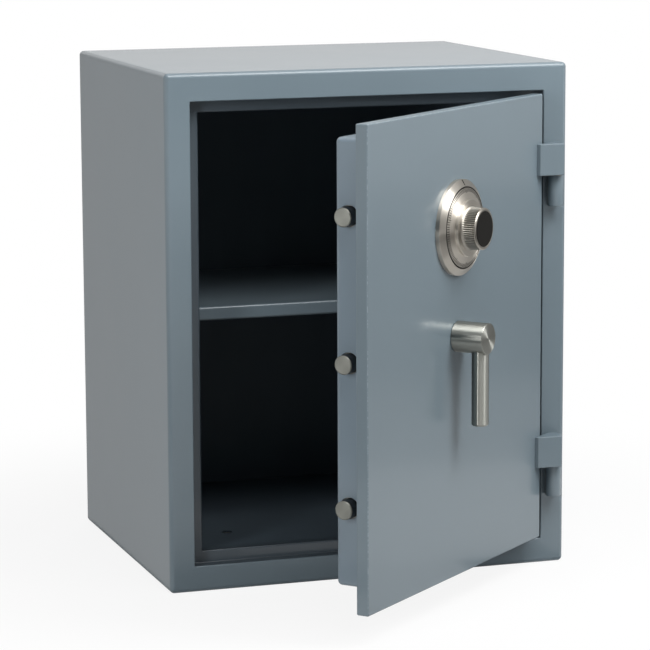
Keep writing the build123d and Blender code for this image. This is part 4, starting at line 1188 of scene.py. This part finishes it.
def makeFloor():
    material, tree = startMaterial("white studio floor")
    half = ground["size"] / 2
    mirrored, seen = rayShares(tree)
    place = addNode(tree, "ShaderNodeTexCoord").outputs["Object"]
    far = addNode(tree, "ShaderNodeVectorMath", {0: place}, operation="LENGTH")
    near = addNode(tree, "ShaderNodeMapRange", {
        "Value": far.outputs["Value"], "From Min": ground["shadowStart"], "From Max": ground["shadowEnd"],
        "To Min": 1, "To Max": 0,
    }, interpolation_type="SMOOTHSTEP")
    share = addNode(tree, "ShaderNodeMapRange", {
        "Value": mirrored, "To Min": ground["shadowShare"], "To Max": ground["mirrorShare"],
    })
    amount = addNode(tree, "ShaderNodeMath", {0: near.outputs[0], 1: share.outputs[0]}, operation="MULTIPLY")
    white = addNode(tree, "ShaderNodeEmission", {"Color": greyOf(1)})
    lit = addNode(tree, "ShaderNodeBsdfDiffuse", {"Color": greyOf(ground["lit"])})
    bounce = addNode(tree, "ShaderNodeBsdfDiffuse", {"Color": greyOf(ground["bounce"])})
    shown = addNode(tree, "ShaderNodeMixShader", {
        0: amount.outputs[0], 1: white.outputs[0], 2: lit.outputs[0],
    })
    whole = addNode(tree, "ShaderNodeMixShader", {0: seen, 1: bounce.outputs[0], 2: shown.outputs[0]})
    addNode(tree, "ShaderNodeOutputMaterial", {"Surface": whole.outputs[0]})
    corners = [(-half, -half, 0), (half, -half, 0), (half, half, 0), (-half, half, 0)]
    addStage("floor", corners, material).location.z = cadLow.z - ground["below"]


def lyingCard(west, east, south, north, height):
    return [(west, south, height), (east, south, height), (east, north, height), (west, north, height)]


def standingCard(start, end, bottom, top):
    return [(*start, bottom), (*end, bottom), (*end, top), (*start, top)]


# Cards that the camera doesn't see. Metal and gloss paint mirror them, which gives the steel its bands
# and keeps the white surroundings from washing out the paint. Each has a tone and its corners.
cards = {
    "floorLeft": (0.52, lyingCard(-3.2, -0.268, -0.3, 2.5, 0.004)),
    "backLeft": (0.52, standingCard((-3.6, 2.5), (-0.35, 2.5), 0, 1.1)),
    "back": (0.8, standingCard((-0.3, 2.2), (2.8, 2.2), 0.6, 1.5)),
    "overBack": (0.15, standingCard((-1.6, 1.7), (1.6, 1.7), 1.5, 2.4)),
    "frontRight": (0.05, lyingCard(0.45, 3.2, -3.3, -0.75, 0.004)),
    "floorFarLeft": (0.05, lyingCard(-3.8, -0.35, -1.7, -0.3, 0.004)),
    "floorByBolt": (0.8, lyingCard(-1, -0.45, -0.9, -0.45, 0.006)),
    "leftHigh": (0.05, standingCard((-1.5, -1.3), (-1.5, 0.6), 0.95, 1.75)),
    "floorNear": (0.85, lyingCard(0.27, 0.85, -0.8, 1.8, 0.003)),
    # floorUnder is a dark card for the floor's shade under the door: painted shade, seen only in reflections
    "floorUnder": (0.12, lyingCard(-0.35, 0.27, -0.33, -0.216, 0.003)),
    "floorFoot": (0.7, lyingCard(-0.12, 0.27, -0.8, -0.33, 0.003)),
    "floorRight": (0.42, lyingCard(0.85, 1.5, -0.7, 1.8, 0.003)),
    "rightLow": (0.1, standingCard((1.5, -0.25), (1.5, 1.8), 0, 0.34)),
    "rightHigh": (0.5, standingCard((1.5, -0.25), (1.5, 1.8), 0.34, 1.6)),
    "front": (0.03, standingCard((-4.6, -4.6), (2.6, -4.6), 0.1, 2.4)),
}


def makeCards():
    for name, (tone, corners) in cards.items():
        material, tree = startMaterial("card " + name)
        cloth = addNode(tree, "ShaderNodeEmission", {"Color": greyOf(tone)})
        addNode(tree, "ShaderNodeOutputMaterial", {"Surface": cloth.outputs[0]})
        card = addStage("card_" + name, corners, material)
        card.visible_camera = False
        card.visible_diffuse = False
        card.visible_shadow = False


# Soft boxes: one overhead, one at each side of the camera and one behind the safe.
# The overhead one alone shows in reflections, and turned steel also mirrors a copy of each side lamp.
lamps = {
    "overhead": {"place": (0.25, -1, 1.75), "aim": (0.05, -0.2, 0.55), "size": (1.6, 0.7), "power": 21},
    "doorSide": {"place": (1.1, -1.25, 1.6), "aim": (0.1, -0.4, 0.35), "size": (0.7, 1.3), "power": 27},
    "cameraLeft": {"place": (-2.3, -1.9, 0.9), "aim": (0, -0.3, 0.35), "size": (0.5, 1.6), "power": 36.5},
    "behind": {"place": (0.5, 2.3, 0.9), "aim": (0, 0.2, 0.3), "size": (1.6, 1.4), "power": 28},
}
shineLamps = {"doorSide": 1.2, "cameraLeft": 0.9}  # each copy's power, as a share of its lamp's
shineNearer = 0.02  # a copy hangs this far in front of its lamp
ambient = {"colour": (0.95, 0.98, 1, 1), "strength": 0.05}  # light from surroundings that look white


def addLamp(name, lamp, nearer=0):
    light = bpy.data.lights.new(name, "AREA")
    light.shape = "RECTANGLE"
    light.size, light.size_y = lamp["size"]
    light.energy = lamp["power"]
    shown = bpy.data.objects.new(name, light)
    show(shown)
    ahead = Vector(lamp["aim"]) - Vector(lamp["place"])
    place = Vector(lamp["place"]) + ahead.normalized() * nearer
    shown.matrix_world = Matrix.Translation(place) @ ahead.to_track_quat("-Z", "Y").to_matrix().to_4x4()
    return shown


def makeLamps():
    steel = bpy.data.collections.new("steel pieces")
    for piece in bpy.data.objects:
        if piece.type == "MESH" and any("turned steel" in finish.name for finish in piece.data.materials):
            steel.objects.link(piece)
    for name, lamp in lamps.items():
        shown = addLamp(name, lamp)
        shown.visible_glossy = name == "overhead"
        if name in shineLamps:
            shine = addLamp(name + "Shine", lamp, shineNearer)
            shine.data.energy *= shineLamps[name]
            shine.visible_diffuse = False
            shine.light_linking.receiver_collection = steel


def makeWorld():
    world = bpy.data.worlds.new("studio")
    world.use_nodes = True
    tree = world.node_tree
    tree.nodes.clear()
    seen = rayShares(tree)[1]
    white = addNode(tree, "ShaderNodeBackground", {"Color": greyOf(1)})
    dim = addNode(tree, "ShaderNodeBackground", {"Color": ambient["colour"], "Strength": ambient["strength"]})
    whole = addNode(tree, "ShaderNodeMixShader", {0: seen, 1: dim.outputs[0], 2: white.outputs[0]})
    addNode(tree, "ShaderNodeOutputWorld", {"Surface": whole.outputs[0]})
    bpy.context.scene.world = world


makeCamera()
makeFloor()
makeCards()
makeLamps()
makeWorld()
bpy.context.scene.view_settings.view_transform = "Standard"
print("camera, floor and light made")
